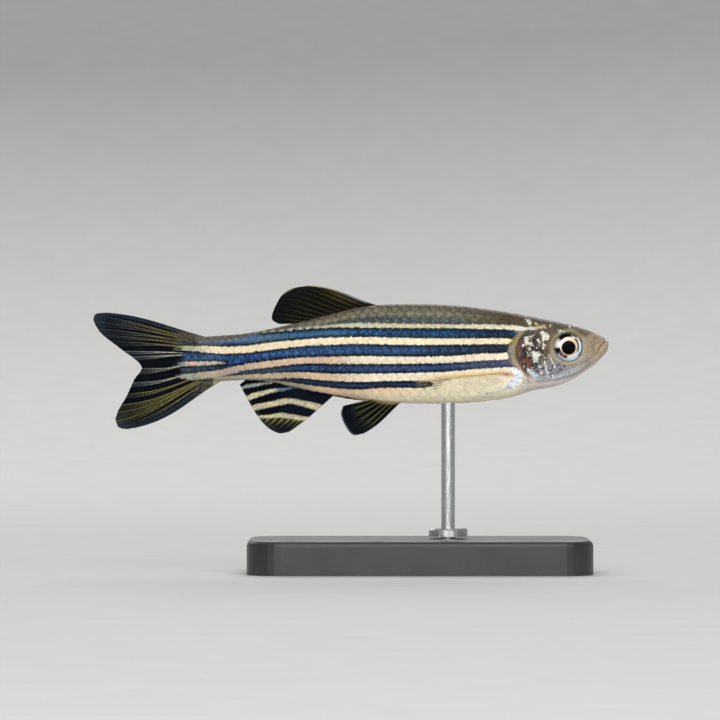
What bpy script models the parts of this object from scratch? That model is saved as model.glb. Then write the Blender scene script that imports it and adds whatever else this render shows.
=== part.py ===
"""Zebra danio, a still life-size model of the fish on a plain display stand.

The fish faces +X and its right side faces -Y. Sizes are in millimetres until a mesh is made, and
metres from there on. A place on the fish is given as s, the distance behind the tip of the snout,
and z, the height over the axis of the body. The origin is under the middle of the whole model, on
the surface that the stand rests on.
"""

import bisect
import math

import bmesh
import bpy
from mathutils import Vector

MM = 0.001

# Driving sizes, in millimetres
TOTAL_LENGTH = 45.0
BODY_END = 37.1
AXIS_HEIGHT = 19.3
GAP = 0.2

# Outline of the body: (distance behind the snout, height over the axis)
BACK = (
    (0.0, 0.61), (0.55, 1.3), (1.6, 1.81), (3.2, 2.33), (5.3, 2.78), (9.5, 3.56), (13.7, 4.07),
    (17.8, 4.17), (20.3, 4.08), (22.6, 3.71), (25.9, 2.87), (29.3, 2.06), (32.0, 1.58), (34.6, 1.38),
    (BODY_END, 1.1),
)
BELLY = (
    (0.0, 0.61), (0.55, -0.46), (1.6, -1.41), (3.2, -2.44), (4.5, -2.96), (5.6, -3.2), (6.6, -3.38),
    (8.4, -3.94), (10.5, -4.31), (13.7, -4.51), (17.8, -4.5), (20.6, -4.35), (23.9, -3.92),
    (27.5, -3.12), (29.6, -2.6), (31.7, -2.49), (34.4, -2.6), (BODY_END, -2.3),
)
HALF_WIDTH = (
    (0.0, 0.0), (0.4, 0.84), (1.2, 1.27), (2.2, 1.6), (3.6, 1.9), (5.4, 2.2), (7.5, 2.4), (10.5, 2.47),
    (14.0, 2.42), (18.0, 2.22), (22.0, 1.86), (26.0, 1.42), (30.0, 1.02), (33.5, 0.76), (35.6, 0.56),
    (BODY_END, 0.3),
)
WIDEST = (
    (0.0, 0.61), (1.0, 0.42), (3.5, 0.2), (7.0, -0.1), (12.0, -0.5), (18.0, -0.15), (24.0, 0.0),
    (30.0, -0.45), (BODY_END, -0.6),
)
ROUNDNESS = 2.25

# Where the body is parted
MOUTH = ((0.2, 1.05), (0.62, 0.6), (1.02, 0.0), (2.0, -0.85), (2.95, -1.65), (3.1, -3.6))
GILL_MIDDLE = (5.6, -0.1)
GILL_REACH = (2.6, 2.55)
GILL_FRONT = 5.55
GILL_THICKNESS = 0.6
NAPE_REAR = 8.75
NAPE_HEIGHT = -0.2
NAPE_BEND = 0.16
VENT = 24.0

# Eye
EYE_PLACE = (3.54, 0.44)
EYE_RADIUS = 1.42
EYE_DEPTH = 1.1
EYE_OFFSET = 1.15
EYE_BACK = 0.55

# Fins: roots run from the first ray to the last, tips are (share of the fin, s, z)
DORSAL_ROOTS = ((20.1, 4.0), (26.9, 2.5))
DORSAL_TIPS = (
    (0.0, 26.3, 5.77), (0.2, 27.6, 5.55), (0.42, 28.5, 4.95), (0.65, 29.1, 3.95), (0.85, 29.4, 3.1),
    (1.0, 28.9, 2.42),
)
DORSAL_BOW = 0.55
ANAL_ROOTS = ((23.8, -3.75), (31.4, -2.4))
ANAL_TIPS = (
    (0.0, 27.9, -7.02), (0.14, 28.8, -7.12), (0.35, 29.9, -6.5), (0.6, 30.85, -5.3),
    (0.82, 31.6, -4.0), (1.0, 32.2, -2.85),
)
ANAL_BOW = -0.18
TAIL_ROOTS = ((34.9, 1.2), (33.6, -2.4))
TAIL_ROOT_BULGE = 1.9
TAIL_BOW_TOP = 0.5
TAIL_BOW_BOTTOM = -0.78
TAIL_TIPS = (
    (0.0, 44.5, 3.42), (0.07, 45.0, 2.95), (0.2, 44.25, 1.55), (0.35, 42.7, 0.33), (0.49, 40.8, -1.25),
    (0.6, 41.4, -2.4), (0.78, 42.15, -4.0), (0.92, 43.05, -5.85), (0.97, 42.8, -6.5), (1.0, 42.0, -6.79),
)
PELVIC_ROOTS = ((17.9, -4.15), (20.7, -4.0))
PELVIC_TIPS = (
    (0.0, 21.5, -7.16), (0.25, 22.3, -7.25), (0.5, 22.9, -6.6), (0.78, 23.35, -5.5), (1.0, 23.2, -4.75),
)
PELVIC_BOW = -0.35
PELVIC_SIDE = 0.62
PELVIC_SPREAD = 0.85
PECTORAL_ROOTS = ((8.75, -1.75), (8.9, -2.5))
PECTORAL_TIPS = (
    (0.0, 16.4, -2.45), (0.2, 16.95, -2.85), (0.45, 16.4, -3.3), (0.75, 14.6, -3.6), (1.0, 12.4, -3.55),
)
PECTORAL_SPREAD = 0.4
PECTORAL_DEPTH = 0.5
MEMBRANE_HALF = 0.25
RAY_HALF = 0.34
DORSAL_RAYS = 8
ANAL_RAYS = 12
TAIL_RAYS = 16
PELVIC_RAYS = 6
PECTORAL_RAYS = 6

# Barbels: (s, z) of the points they pass, lying back along the cheek
BARBEL_RADIUS = 0.25
UPPER_BARBEL = ((0.75, 0.95), (1.2, 0.7), (1.75, 0.45))
LOWER_BARBEL = ((1.3, -0.15), (2.0, -0.75), (2.9, -1.25), (3.9, -1.6))

# Stand
BASE_LENGTH = 30.0
BASE_WIDTH = 14.0
BASE_HEIGHT = 3.0
BASE_CORNER = 3.0
BASE_BEVEL = 0.5
BASE_MIDDLE = 6.0
ROD_PLACE = 14.0
ROD_RADIUS = 0.6
ROD_DEPTH = 1.2
FLANGE_RADIUS = 1.7
FLANGE_HEIGHT = 0.7

# Fineness of the faceted surfaces
RINGS = 38
AROUND = 28
TURNED = 24
FIN_STEPS = 4


def place(s, y, z):
    """Point in metres for a distance behind the snout, a side offset and a height over the axis."""
    return Vector((TOTAL_LENGTH / 2 - s, y, AXIS_HEIGHT + z)) * MM


def through(stations, measure=float):
    """Smooth function that passes through (place, value) stations."""
    knots = [measure(station[0]) for station in stations]
    values = [station[1] for station in stations]
    slopes = []
    for i in range(len(knots)):
        low = max(i - 1, 0)
        high = min(i + 1, len(knots) - 1)
        slopes.append((values[high] - values[low]) / (knots[high] - knots[low]))

    def value_at(at):
        knot = min(max(measure(at), knots[0]), knots[-1])
        i = min(bisect.bisect_right(knots, knot), len(knots) - 1) - 1
        span = knots[i + 1] - knots[i]
        t = (knot - knots[i]) / span
        rise = t * t * (3 - 2 * t)
        start = t * (1 - t) ** 2
        end = t * t * (t - 1)
        return (
            values[i] + rise * (values[i + 1] - values[i])
            + span * (start * slopes[i] + end * slopes[i + 1])
        )

    return value_at


def from_snout(s):
    """Measure along the body that opens up the blunt snout, whose outline starts upright."""
    return math.sqrt(max(s, 0.0))


back_at = through(BACK, from_snout)
belly_at = through(BELLY, from_snout)
half_width_at = through(HALF_WIDTH, from_snout)
widest_at = through(WIDEST, from_snout)


def on_body(s, turn):
    """Point of the body's surface as (s, y, z). Turn is 0 at the back, 0.25 on the left side."""
    side = math.sin(2 * math.pi * turn)
    up = math.cos(2 * math.pi * turn)
    power = 2 / ROUNDNESS
    middle = widest_at(s)
    reach = back_at(s) - middle if up > 0 else middle - belly_at(s)
    y = half_width_at(s) * math.copysign(abs(side) ** power, side)
    z = middle + reach * math.copysign(abs(up) ** power, up)
    return Vector((s, y, z))


def grown_body(s, turn, grow):
    """Point of the body's surface, moved out of the body by grow."""
    small = 0.02
    along = on_body(s + small, turn) - on_body(max(s - small, small), turn)
    around = on_body(s, turn + small) - on_body(s, turn - small)
    return on_body(s, turn) + along.cross(around).normalized() * grow


def side_of_body(s, z):
    """Half the body's width at a height over the axis."""
    middle = widest_at(s)
    reach = back_at(s) - middle if z > middle else middle - belly_at(s)
    share = min(abs(z - middle) / reach, 1.0)
    return half_width_at(s) * (1 - share ** ROUNDNESS) ** (1 / ROUNDNESS)


def finish(name, colour, roughness, metallic=0.0):
    """Plain material of one colour."""
    material = bpy.data.materials.new(name)
    material.use_nodes = True
    shader = material.node_tree.nodes["Principled BSDF"]
    shader.inputs["Base Color"].default_value = (*colour, 1.0)
    shader.inputs["Roughness"].default_value = roughness
    shader.inputs["Metallic"].default_value = metallic
    return material


def add_object(name, mesh, material):
    """Object of flat triangles with its faces turned out, shaded smooth up to sharp edges."""
    whole = bmesh.new()
    whole.from_mesh(mesh)
    bmesh.ops.recalc_face_normals(whole, faces=whole.faces)
    bmesh.ops.triangulate(whole, faces=whole.faces)
    whole.to_mesh(mesh)
    whole.free()
    mesh.shade_smooth()
    mesh.set_sharp_from_angle(angle=math.radians(40))
    piece = bpy.data.objects.new(name, mesh)
    bpy.context.scene.collection.objects.link(piece)
    if material is None:
        piece.hide_render = True
        piece.display_type = "WIRE"
    else:
        mesh.materials.append(material)
    return piece


def ring_mesh(name, rings):
    """Closed mesh through rings of points; a ring of one point closes to a tip, others to a cap."""
    mesh = bmesh.new()
    rows = [[mesh.verts.new(point) for point in ring] for ring in rings]
    for first, second in zip(rows, rows[1:]):
        count = max(len(first), len(second))
        for i in range(count):
            j = (i + 1) % count
            if len(first) == 1:
                mesh.faces.new((first[0], second[i], second[j]))
            elif len(second) == 1:
                mesh.faces.new((first[i], second[0], first[j]))
            else:
                mesh.faces.new((first[i], second[i], second[j], first[j]))
    for row in (rows[0], rows[-1]):
        if len(row) > 1:
            mesh.faces.new(row)
    made = bpy.data.meshes.new(name)
    mesh.to_mesh(made)
    mesh.free()
    return made


def body_length(name, start, end, grow=0.0, material=None):
    """Length of the body between two distances behind the snout, as a closed solid."""
    wanted = [BODY_END * (i / RINGS) ** 1.4 for i in range(1, RINGS)]
    margin = 0.15
    inner = [s for s in wanted if start + margin < s < end - margin]
    rings = []
    if start == 0.0:
        rings.append([place(-grow, 0.0, back_at(0.0))])
    else:
        inner.insert(0, start)
    for s in [*inner, end]:
        ring = [grown_body(s, i / AROUND, grow) for i in range(AROUND)]
        capped = s in (start, end)
        rings.append([place(s if capped else point.x, point.y, point.z) for point in ring])
    return add_object(name, ring_mesh(name, rings), material)


def grown_outline(outline, grow):
    """Outline of (s, z) points in turn order, moved outwards by grow with mitred corners."""
    points = [Vector(point) for point in outline]
    area = sum(a.x * b.y - b.x * a.y for a, b in zip(points, points[1:] + points[:1]))
    outwards = math.copysign(1.0, area)
    moved = []
    for before, here, after in zip(points[-1:] + points[:-1], points, points[1:] + points[:1]):
        first = (here - before).normalized()
        second = (after - here).normalized()
        normal = Vector((first.y + second.y, -first.x - second.x)).normalized() * outwards
        cosine = normal.dot(Vector((first.y, -first.x)) * outwards)
        moved.append(here + normal * (grow / max(cosine, 0.5)))
    return moved


def block(name, outline, near, far):
    """Helper solid: an outline of (s, z) points, carried across from y = near to y = far."""
    rings = [[place(s, y, z) for s, z in outline] for y in (near, far)]
    return add_object(name, ring_mesh(name, rings), None)


def turned(name, profile, s, material=None):
    """Upright turned solid round the line at s, from (radius, height over the floor) points."""
    rings = []
    for radius, height in profile:
        z = height - AXIS_HEIGHT
        if radius == 0:
            rings.append([place(s, 0.0, z)])
            continue
        angles = [2 * math.pi * i / TURNED for i in range(TURNED)]
        rings.append([place(s + radius * math.cos(a), radius * math.sin(a), z) for a in angles])
    return add_object(name, ring_mesh(name, rings), material)


def boolean(piece, other, operation="DIFFERENCE"):
    """Keep what the operation leaves of the piece."""
    modifier = piece.modifiers.new(operation.lower(), "BOOLEAN")
    modifier.operation = operation
    modifier.object = other
    modifier.solver = "EXACT"


def eyeball(name, side, grow=0.0, material=None):
    """Eye as a cushion-shaped solid whose flat back stays clear of the other eye."""
    mesh = bmesh.new()
    bmesh.ops.create_uvsphere(mesh, u_segments=TURNED, v_segments=TURNED // 2, radius=1.0)
    middle = place(EYE_PLACE[0], side * EYE_OFFSET, EYE_PLACE[1])
    radius = (EYE_RADIUS + grow) * MM
    depth = (EYE_DEPTH + grow) * MM
    for vertex in mesh.verts:
        x, y, z = vertex.co
        vertex.co = middle + Vector((radius * x, depth * z, radius * y))
    inner = place(0.0, side * (EYE_BACK - grow), 0.0)
    cut = bmesh.ops.bisect_plane(
        mesh, geom=mesh.verts[:] + mesh.edges[:] + mesh.faces[:],
        plane_co=inner, plane_no=(0, side, 0), clear_inner=True,
    )
    rim = [part for part in cut["geom_cut"] if isinstance(part, bmesh.types.BMEdge)]
    bmesh.ops.contextual_create(mesh, geom=rim)
    made = bpy.data.meshes.new(name)
    mesh.to_mesh(made)
    mesh.free()
    return add_object(name, made, material)


def fin(name, rays, middle, material):
    """Fin as a thin solid with a low ridge on each ray; middle(u, v) is its middle surface."""
    columns = 2 * rays - 1
    sheets = ([], [])
    for i in range(columns):
        u = i / (columns - 1)
        ridge = RAY_HALF - MEMBRANE_HALF if i % 2 == 0 else 0.0
        for sheet, sign in zip(sheets, (1, -1)):
            column = []
            for j in range(FIN_STEPS + 1):
                v = j / FIN_STEPS
                point = middle(u, v)
                half = MEMBRANE_HALF + ridge * (1 - v * v)
                column.append(place(point.x, point.y + sign * half, point.z))
            sheet.append(column)
    mesh = bmesh.new()
    tops, bottoms = [[[mesh.verts.new(p) for p in column] for column in sheet] for sheet in sheets]
    for i in range(columns - 1):
        for j in range(FIN_STEPS):
            corners = ((i, j), (i + 1, j), (i + 1, j + 1), (i, j + 1))
            mesh.faces.new([tops[a][b] for a, b in corners])
            mesh.faces.new([bottoms[a][b] for a, b in reversed(corners)])
    rim = [(i, 0) for i in range(columns)]
    rim += [(columns - 1, j) for j in range(1, FIN_STEPS + 1)]
    rim += [(i, FIN_STEPS) for i in range(columns - 2, -1, -1)]
    rim += [(0, j) for j in range(FIN_STEPS - 1, 0, -1)]
    for (a, b), (c, d) in zip(rim, rim[1:] + rim[:1]):
        mesh.faces.new((tops[a][b], tops[c][d], bottoms[c][d], bottoms[a][b]))
    made = bpy.data.meshes.new(name)
    mesh.to_mesh(made)
    mesh.free()
    return add_object(name, made, material)


def ray_points(roots, tips, bulge=0.0, bow=lambda u: 0.0):
    """Function of (u, v) that runs from root line to tip line as a (s, z) point, bowed near the tip."""
    tip_s = through([(u, s) for u, s, z in tips])
    tip_z = through([(u, z) for u, s, z in tips])
    first, last = (Vector(root) for root in roots)

    def point_at(u, v):
        root = first.lerp(last, u)
        root.x += bulge * (1 - (2 * u - 1) ** 2)
        along = Vector((tip_s(u), tip_z(u))) - root
        across = Vector((-along.y, along.x)).normalized()
        return root + along * v + across * bow(u) * v * math.sin(math.pi * v)

    return point_at


def upright_fin(name, rays, points, material):
    """Fin in the middle plane of the fish."""

    def middle(u, v):
        point = points(u, v)
        return Vector((point.x, 0.0, point.y))

    return fin(name, rays, middle, material)


def make_body(flesh):
    """Head, lower jaw, trunk and tail, parted from one another by thin cuts."""
    far = 4.0
    over = 6.0
    deep = 7.0
    heights = [over - (over + deep) * i / 16 for i in range(17)]
    edge = [(NAPE_REAR - NAPE_BEND * min((z - NAPE_HEIGHT) ** 2, 20.0), z) for z in heights]
    head_outline = [(-2.0, over), *edge, (-2.0, -deep)]
    jaw_outline = [(-2.0, 1.4), *MOUTH, (-2.0, -3.6)]
    head_side = block("head_region", head_outline, -far, far)
    trunk_cut = block("trunk_cut", grown_outline(head_outline, GAP), -far, far)
    jaw_side = block("jaw_region", jaw_outline, -far, far)
    head_cut = block("jaw_cut", grown_outline(jaw_outline, GAP), -far, far)

    head = body_length("head", 0.0, NAPE_REAR + 1.0, material=flesh)
    boolean(head, head_side, "INTERSECT")
    boolean(head, head_cut)
    jaw = body_length("lower_jaw", 0.0, MOUTH[-1][0] + 1.0, material=flesh)
    boolean(jaw, jaw_side, "INTERSECT")
    trunk = body_length("trunk", 3.4, VENT - GAP / 2, material=flesh)
    boolean(trunk, trunk_cut)
    body_length("tail", VENT + GAP / 2, BODY_END, material=flesh)
    return head, trunk


def gill_outline():
    """Gill cover seen from the side: a straight front and a rear edge that is part of an ellipse."""
    start = math.radians(42)
    end = math.radians(-91)
    steps = 22
    outline = []
    for i in range(steps + 1):
        angle = start + (end - start) * i / steps
        s = GILL_MIDDLE[0] + GILL_REACH[0] * math.cos(angle)
        z = GILL_MIDDLE[1] + GILL_REACH[1] * math.sin(angle)
        outline.append((s, z))
    top = outline[0][1] - 0.15
    return [(GILL_FRONT + 0.35, top), *outline, (GILL_FRONT - 0.35, outline[-1][1]), (GILL_FRONT, -0.7)]


def make_gill_covers(head, bone):
    """Gill covers as thin curved plates, each in a pocket of the head."""
    outline = gill_outline()
    reach = (GILL_FRONT - 1.5, NAPE_REAR + 1.0)
    under_plate = body_length("under_plate", *reach, grow=-GILL_THICKNESS)
    pocket_floor = body_length("pocket_floor", *reach, grow=-GILL_THICKNESS - GAP)
    for word, side in (("right", -1), ("left", 1)):
        region = block(f"gill_region_{word}", outline, side * 0.4, side * 4.0)
        plate = body_length(f"gill_cover_{word}", *reach, material=bone)
        boolean(plate, region, "INTERSECT")
        boolean(plate, under_plate)
        pocket = block(f"gill_pocket_{word}", grown_outline(outline, GAP), side * 0.2, side * 4.0)
        boolean(pocket, pocket_floor)
        boolean(head, pocket)


def make_eyes(head, glassy):
    """Eyes, each in a socket of the head."""
    for word, side in (("right", -1), ("left", 1)):
        eyeball(f"eye_{word}", side, material=glassy)
        boolean(head, eyeball(f"eye_socket_{word}", side, grow=GAP))


def make_upright_fins(near_body, dark):
    """Dorsal, anal and tail fins, each ending just clear of the body."""
    dorsal = ray_points(DORSAL_ROOTS, DORSAL_TIPS, bow=lambda u: DORSAL_BOW * (1 - u))
    anal = ray_points(ANAL_ROOTS, ANAL_TIPS, bow=lambda u: ANAL_BOW * (1 - u))
    tail = ray_points(
        TAIL_ROOTS, TAIL_TIPS, TAIL_ROOT_BULGE,
        bow=lambda u: TAIL_BOW_TOP + (TAIL_BOW_BOTTOM - TAIL_BOW_TOP) * u,
    )
    for piece in (
        upright_fin("dorsal_fin", DORSAL_RAYS, dorsal, dark),
        upright_fin("anal_fin", ANAL_RAYS, anal, dark),
        upright_fin("caudal_fin", TAIL_RAYS, tail, dark),
    ):
        boolean(piece, near_body)


def make_paired_fins(near_body, dark, clear):
    """Pelvic fins that spread below the belly, and pectoral fins that lie back along the sides."""
    pelvic = ray_points(PELVIC_ROOTS, PELVIC_TIPS, bow=lambda u: PELVIC_BOW * (1 - u))
    pectoral = ray_points(PECTORAL_ROOTS, PECTORAL_TIPS)
    off_skin = GAP + RAY_HALF
    for word, side in (("right", -1), ("left", 1)):

        def pelvic_middle(u, v):
            point = pelvic(u, v)
            return Vector((point.x, side * (PELVIC_SIDE + PELVIC_SPREAD * v), point.y))

        def pectoral_middle(u, v):
            point = pectoral(u, v)
            skin = side_of_body(point.x, max(point.y, belly_at(point.x) * 0.8))
            lift = (off_skin + PECTORAL_DEPTH) * min(4 * v, 1) - PECTORAL_DEPTH
            return Vector((point.x, side * (skin + lift + PECTORAL_SPREAD * v), point.y))

        boolean(fin(f"pelvic_fin_{word}", PELVIC_RAYS, pelvic_middle, dark), near_body)
        boolean(fin(f"pectoral_fin_{word}", PECTORAL_RAYS, pectoral_middle, clear), near_body)


def barbel(name, points, side, material):
    """Feeler that lies back along the cheek, as a tapered tube with a rounded end."""
    along_s = through([(i, s) for i, (s, z) in enumerate(points)])
    along_z = through([(i, z) for i, (s, z) in enumerate(points)])
    steps = 4 * (len(points) - 1)
    off_skin = GAP + BARBEL_RADIUS + 0.05
    line = []
    for i in range(steps + 1):
        at = i * (len(points) - 1) / steps
        s = along_s(at)
        z = along_z(at)
        line.append(place(s, side * (side_of_body(s, z) + off_skin), z))
    rings = [[line[0]]]
    for before, here, after in zip(line, line[1:], line[2:]):
        along = (after - before).normalized()
        across = along.cross(Vector((0, 1, 0))).normalized()
        up = along.cross(across)
        turns = [2 * math.pi * k / 8 for k in range(8)]
        radius = BARBEL_RADIUS * MM
        rings.append([here + (across * math.cos(t) + up * math.sin(t)) * radius for t in turns])
    rings.append([line[-1]])
    return add_object(name, ring_mesh(name, rings), material)


def make_barbels(material):
    """Two pairs of feelers at the mouth."""
    for word, side in (("right", -1), ("left", 1)):
        barbel(f"upper_barbel_{word}", UPPER_BARBEL, side, material)
        barbel(f"lower_barbel_{word}", LOWER_BARBEL, side, material)


def make_stand(trunk, dark, steel):
    """Flat base and one rod that goes up into the belly, under the weight of the fish."""
    mesh = bmesh.new()
    bmesh.ops.create_cube(mesh, size=1.0)
    bmesh.ops.scale(mesh, vec=Vector((BASE_LENGTH, BASE_WIDTH, BASE_HEIGHT)) * MM, verts=mesh.verts)
    bmesh.ops.translate(mesh, vec=Vector((BASE_MIDDLE, 0, BASE_HEIGHT / 2)) * MM, verts=mesh.verts)
    upright = [e for e in mesh.edges if abs(e.verts[0].co.z - e.verts[1].co.z) > MM]
    bmesh.ops.bevel(mesh, geom=upright, offset=BASE_CORNER * MM, segments=8, profile=0.5, affect="EDGES")
    top = max(mesh.faces, key=lambda face: face.calc_center_median().z)
    bmesh.ops.bevel(
        mesh, geom=list(top.edges), offset=BASE_BEVEL * MM, segments=3, profile=0.5, affect="EDGES"
    )
    made = bpy.data.meshes.new("stand_base")
    mesh.to_mesh(made)
    mesh.free()
    base = add_object("stand_base", made, dark)

    belly = AXIS_HEIGHT + belly_at(ROD_PLACE)
    tip = belly + ROD_DEPTH
    foot = BASE_HEIGHT / 3
    flange = BASE_HEIGHT + GAP
    round_off = 0.15
    rod_profile = (
        (0, foot), (ROD_RADIUS, foot), (ROD_RADIUS, flange), (FLANGE_RADIUS, flange),
        (FLANGE_RADIUS, flange + FLANGE_HEIGHT - round_off),
        (FLANGE_RADIUS - round_off, flange + FLANGE_HEIGHT),
        (ROD_RADIUS, flange + FLANGE_HEIGHT), (ROD_RADIUS, tip - round_off),
        (ROD_RADIUS - round_off, tip), (0, tip),
    )
    turned("stand_rod", rod_profile, ROD_PLACE, steel)
    wide = ROD_RADIUS + GAP
    base_hole = turned(
        "base_hole",
        ((0, foot - GAP), (wide, foot - GAP), (wide, BASE_HEIGHT + 1), (0, BASE_HEIGHT + 1)), ROD_PLACE,
    )
    belly_hole = turned(
        "belly_hole", ((0, belly - 2), (wide, belly - 2), (wide, tip + GAP), (0, tip + GAP)), ROD_PLACE
    )
    boolean(base, base_hole)
    boolean(trunk, belly_hole)


def main():
    for old in list(bpy.data.objects):
        bpy.data.objects.remove(old)
    flesh = finish("flesh", (0.35, 0.36, 0.33), 0.35)
    bone = finish("gill_cover", (0.55, 0.5, 0.45), 0.3)
    glassy = finish("eye", (0.04, 0.04, 0.05), 0.08)
    dark = finish("dark_fin", (0.06, 0.07, 0.08), 0.4)
    clear = finish("clear_fin", (0.5, 0.46, 0.34), 0.35)
    base_finish = finish("stand_base", (0.02, 0.02, 0.022), 0.5)
    rod_finish = finish("stand_rod", (0.55, 0.56, 0.58), 0.3, 1.0)

    head, trunk = make_body(flesh)
    make_gill_covers(head, bone)
    make_eyes(head, glassy)
    near_body = body_length("near_body", 0.0, BODY_END + GAP, grow=GAP)
    make_upright_fins(near_body, dark)
    make_paired_fins(near_body, dark, clear)
    make_barbels(flesh)
    make_stand(trunk, base_finish, rod_finish)


main()
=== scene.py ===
"""Looks of the zebra danio: skin, scales, eyes, fins, feelers, stand, light and camera.

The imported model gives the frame. A place on the fish is given as s, the distance behind the tip of
the snout, and z, the height over the axis of the body, both in millimetres. The fish faces +X and
its right side, the one that the camera sees, faces -Y.
"""

import math

import bmesh
import bpy
import numpy as np
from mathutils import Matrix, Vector


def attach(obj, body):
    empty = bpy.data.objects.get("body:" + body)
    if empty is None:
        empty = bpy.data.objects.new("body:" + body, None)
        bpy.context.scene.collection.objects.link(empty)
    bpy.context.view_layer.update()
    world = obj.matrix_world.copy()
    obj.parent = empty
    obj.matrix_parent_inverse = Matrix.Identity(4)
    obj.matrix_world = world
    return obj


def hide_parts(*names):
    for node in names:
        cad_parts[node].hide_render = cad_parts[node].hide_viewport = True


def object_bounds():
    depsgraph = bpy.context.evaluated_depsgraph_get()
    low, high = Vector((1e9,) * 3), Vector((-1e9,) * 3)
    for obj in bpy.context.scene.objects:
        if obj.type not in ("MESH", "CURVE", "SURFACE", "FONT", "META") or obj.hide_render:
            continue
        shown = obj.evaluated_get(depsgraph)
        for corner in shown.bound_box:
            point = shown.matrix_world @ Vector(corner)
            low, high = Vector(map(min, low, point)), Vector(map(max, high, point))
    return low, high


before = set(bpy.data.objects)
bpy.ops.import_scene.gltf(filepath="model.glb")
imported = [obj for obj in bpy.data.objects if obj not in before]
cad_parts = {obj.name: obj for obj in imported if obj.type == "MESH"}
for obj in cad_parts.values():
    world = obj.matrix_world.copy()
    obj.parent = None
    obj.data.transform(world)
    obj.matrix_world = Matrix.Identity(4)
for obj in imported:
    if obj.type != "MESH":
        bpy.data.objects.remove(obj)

cad_low, cad_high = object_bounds()

MM = 0.001
TOTAL_LENGTH = (cad_high.x - cad_low.x) / MM
BODY_END = 37.1
AXIS_HEIGHT = 19.3
SIDES = (("right", -1), ("left", 1))

# Outline of the body: (distance behind the snout, height over the axis)
BACK = (
    (0.0, 0.61), (0.55, 1.3), (1.6, 1.81), (3.2, 2.33), (5.3, 2.78), (9.5, 3.56), (13.7, 4.07),
    (17.8, 4.17), (20.3, 4.08), (22.6, 3.71), (25.9, 2.87), (29.3, 2.06), (32.0, 1.58), (34.6, 1.38),
    (BODY_END, 1.1),
)
BELLY = (
    (0.0, 0.61), (0.55, -0.46), (1.6, -1.41), (3.2, -2.44), (4.5, -2.96), (5.6, -3.2), (6.6, -3.38),
    (8.4, -3.94), (10.5, -4.31), (13.7, -4.51), (17.8, -4.5), (20.6, -4.35), (23.9, -3.92),
    (27.5, -3.12), (29.6, -2.6), (31.7, -2.49), (34.4, -2.6), (BODY_END, -2.3),
)
HALF_WIDTH = (
    (0.0, 0.0), (0.4, 0.84), (1.2, 1.27), (2.2, 1.6), (3.6, 1.9), (5.4, 2.2), (7.5, 2.4), (10.5, 2.47),
    (14.0, 2.42), (18.0, 2.22), (22.0, 1.86), (26.0, 1.42), (30.0, 1.02), (33.5, 0.76), (35.6, 0.56),
    (BODY_END, 0.3),
)
WIDEST = (
    (0.0, 0.61), (1.0, 0.42), (3.5, 0.2), (7.0, -0.1), (12.0, -0.5), (18.0, -0.15), (24.0, 0.0),
    (30.0, -0.45), (BODY_END, -0.6),
)
ROUNDNESS = 2.25

# Eye
EYE_PLACE = (3.54, 0.44)
EYE_RADIUS = 1.42
EYE_DEPTH = 1.1
EYE_OFFSET = 1.15
EYE_BACK = 0.55
EYE_FLATNESS = 2.6
EYE_TILT = 0.17
EYE_SHOWN = 1.33
PUPIL_PLACE = (3.57, 0.35)
PUPIL_RADIUS = 0.6

# Head: places are (s, z), edges are (z, s)
OPERCLE_EDGE = (
    (-2.6, 6.2), (-2.0, 7.1), (-1.4, 7.7), (-0.4, 8.15), (0.4, 8.15), (1.2, 7.8), (1.9, 7.1), (2.4, 6.2),
)
MEMBRANE_EDGE = (
    (-2.8, 6.5), (-2.3, 7.1), (-1.6, 7.75), (-0.9, 8.45), (-0.2, 8.65), (0.45, 8.55), (1.2, 8.15),
    (1.9, 7.4), (2.5, 6.4),
)
MOUTH_SLIT = ((0.12, 1.08), (0.35, 0.86), (0.62, 0.56), (0.9, 0.15), (1.06, -0.2))
MAXILLA_REAR = ((1.28, 0.6), (1.36, 0.1), (1.3, -0.45))
NOSTRILS = ((1.95, 1.42), (2.25, 1.52))
THROAT_FOLD = ((2.9, -2.05), (4.0, -2.42), (5.2, -2.62), (6.4, -2.76), (7.3, -2.95))
PREOPERCLE_RIDGES = (
    ((5.67, -0.8), (5.55, -1.4), (5.28, -2.1)),
    ((5.2, -0.35), (4.95, -0.95), (4.6, -1.55)),
)

# Scales
SCALE_FRONT = (
    (-4.6, 9.3), (-3.4, 10.4), (-2.3, 9.9), (-1.3, 9.0), (0.0, 8.85), (1.2, 8.5), (2.0, 7.9), (3.2, 7.1),
    (4.2, 6.6),
)
PITCH = ((7.0, 0.86), (16.0, 0.85), (28.0, 0.72), (BODY_END, 0.6))
ROW_STEP = ((7.0, 0.62), (16.0, 0.66), (28.0, 0.54), (BODY_END, 0.42))
COAT_DEPTH = 0.08
SCALE_THICKNESS = 0.016
SCALE_SLOPE = 0.045
SCALE_LENGTH = 1.75
SCALE_WIDTH = 1.86

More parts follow.
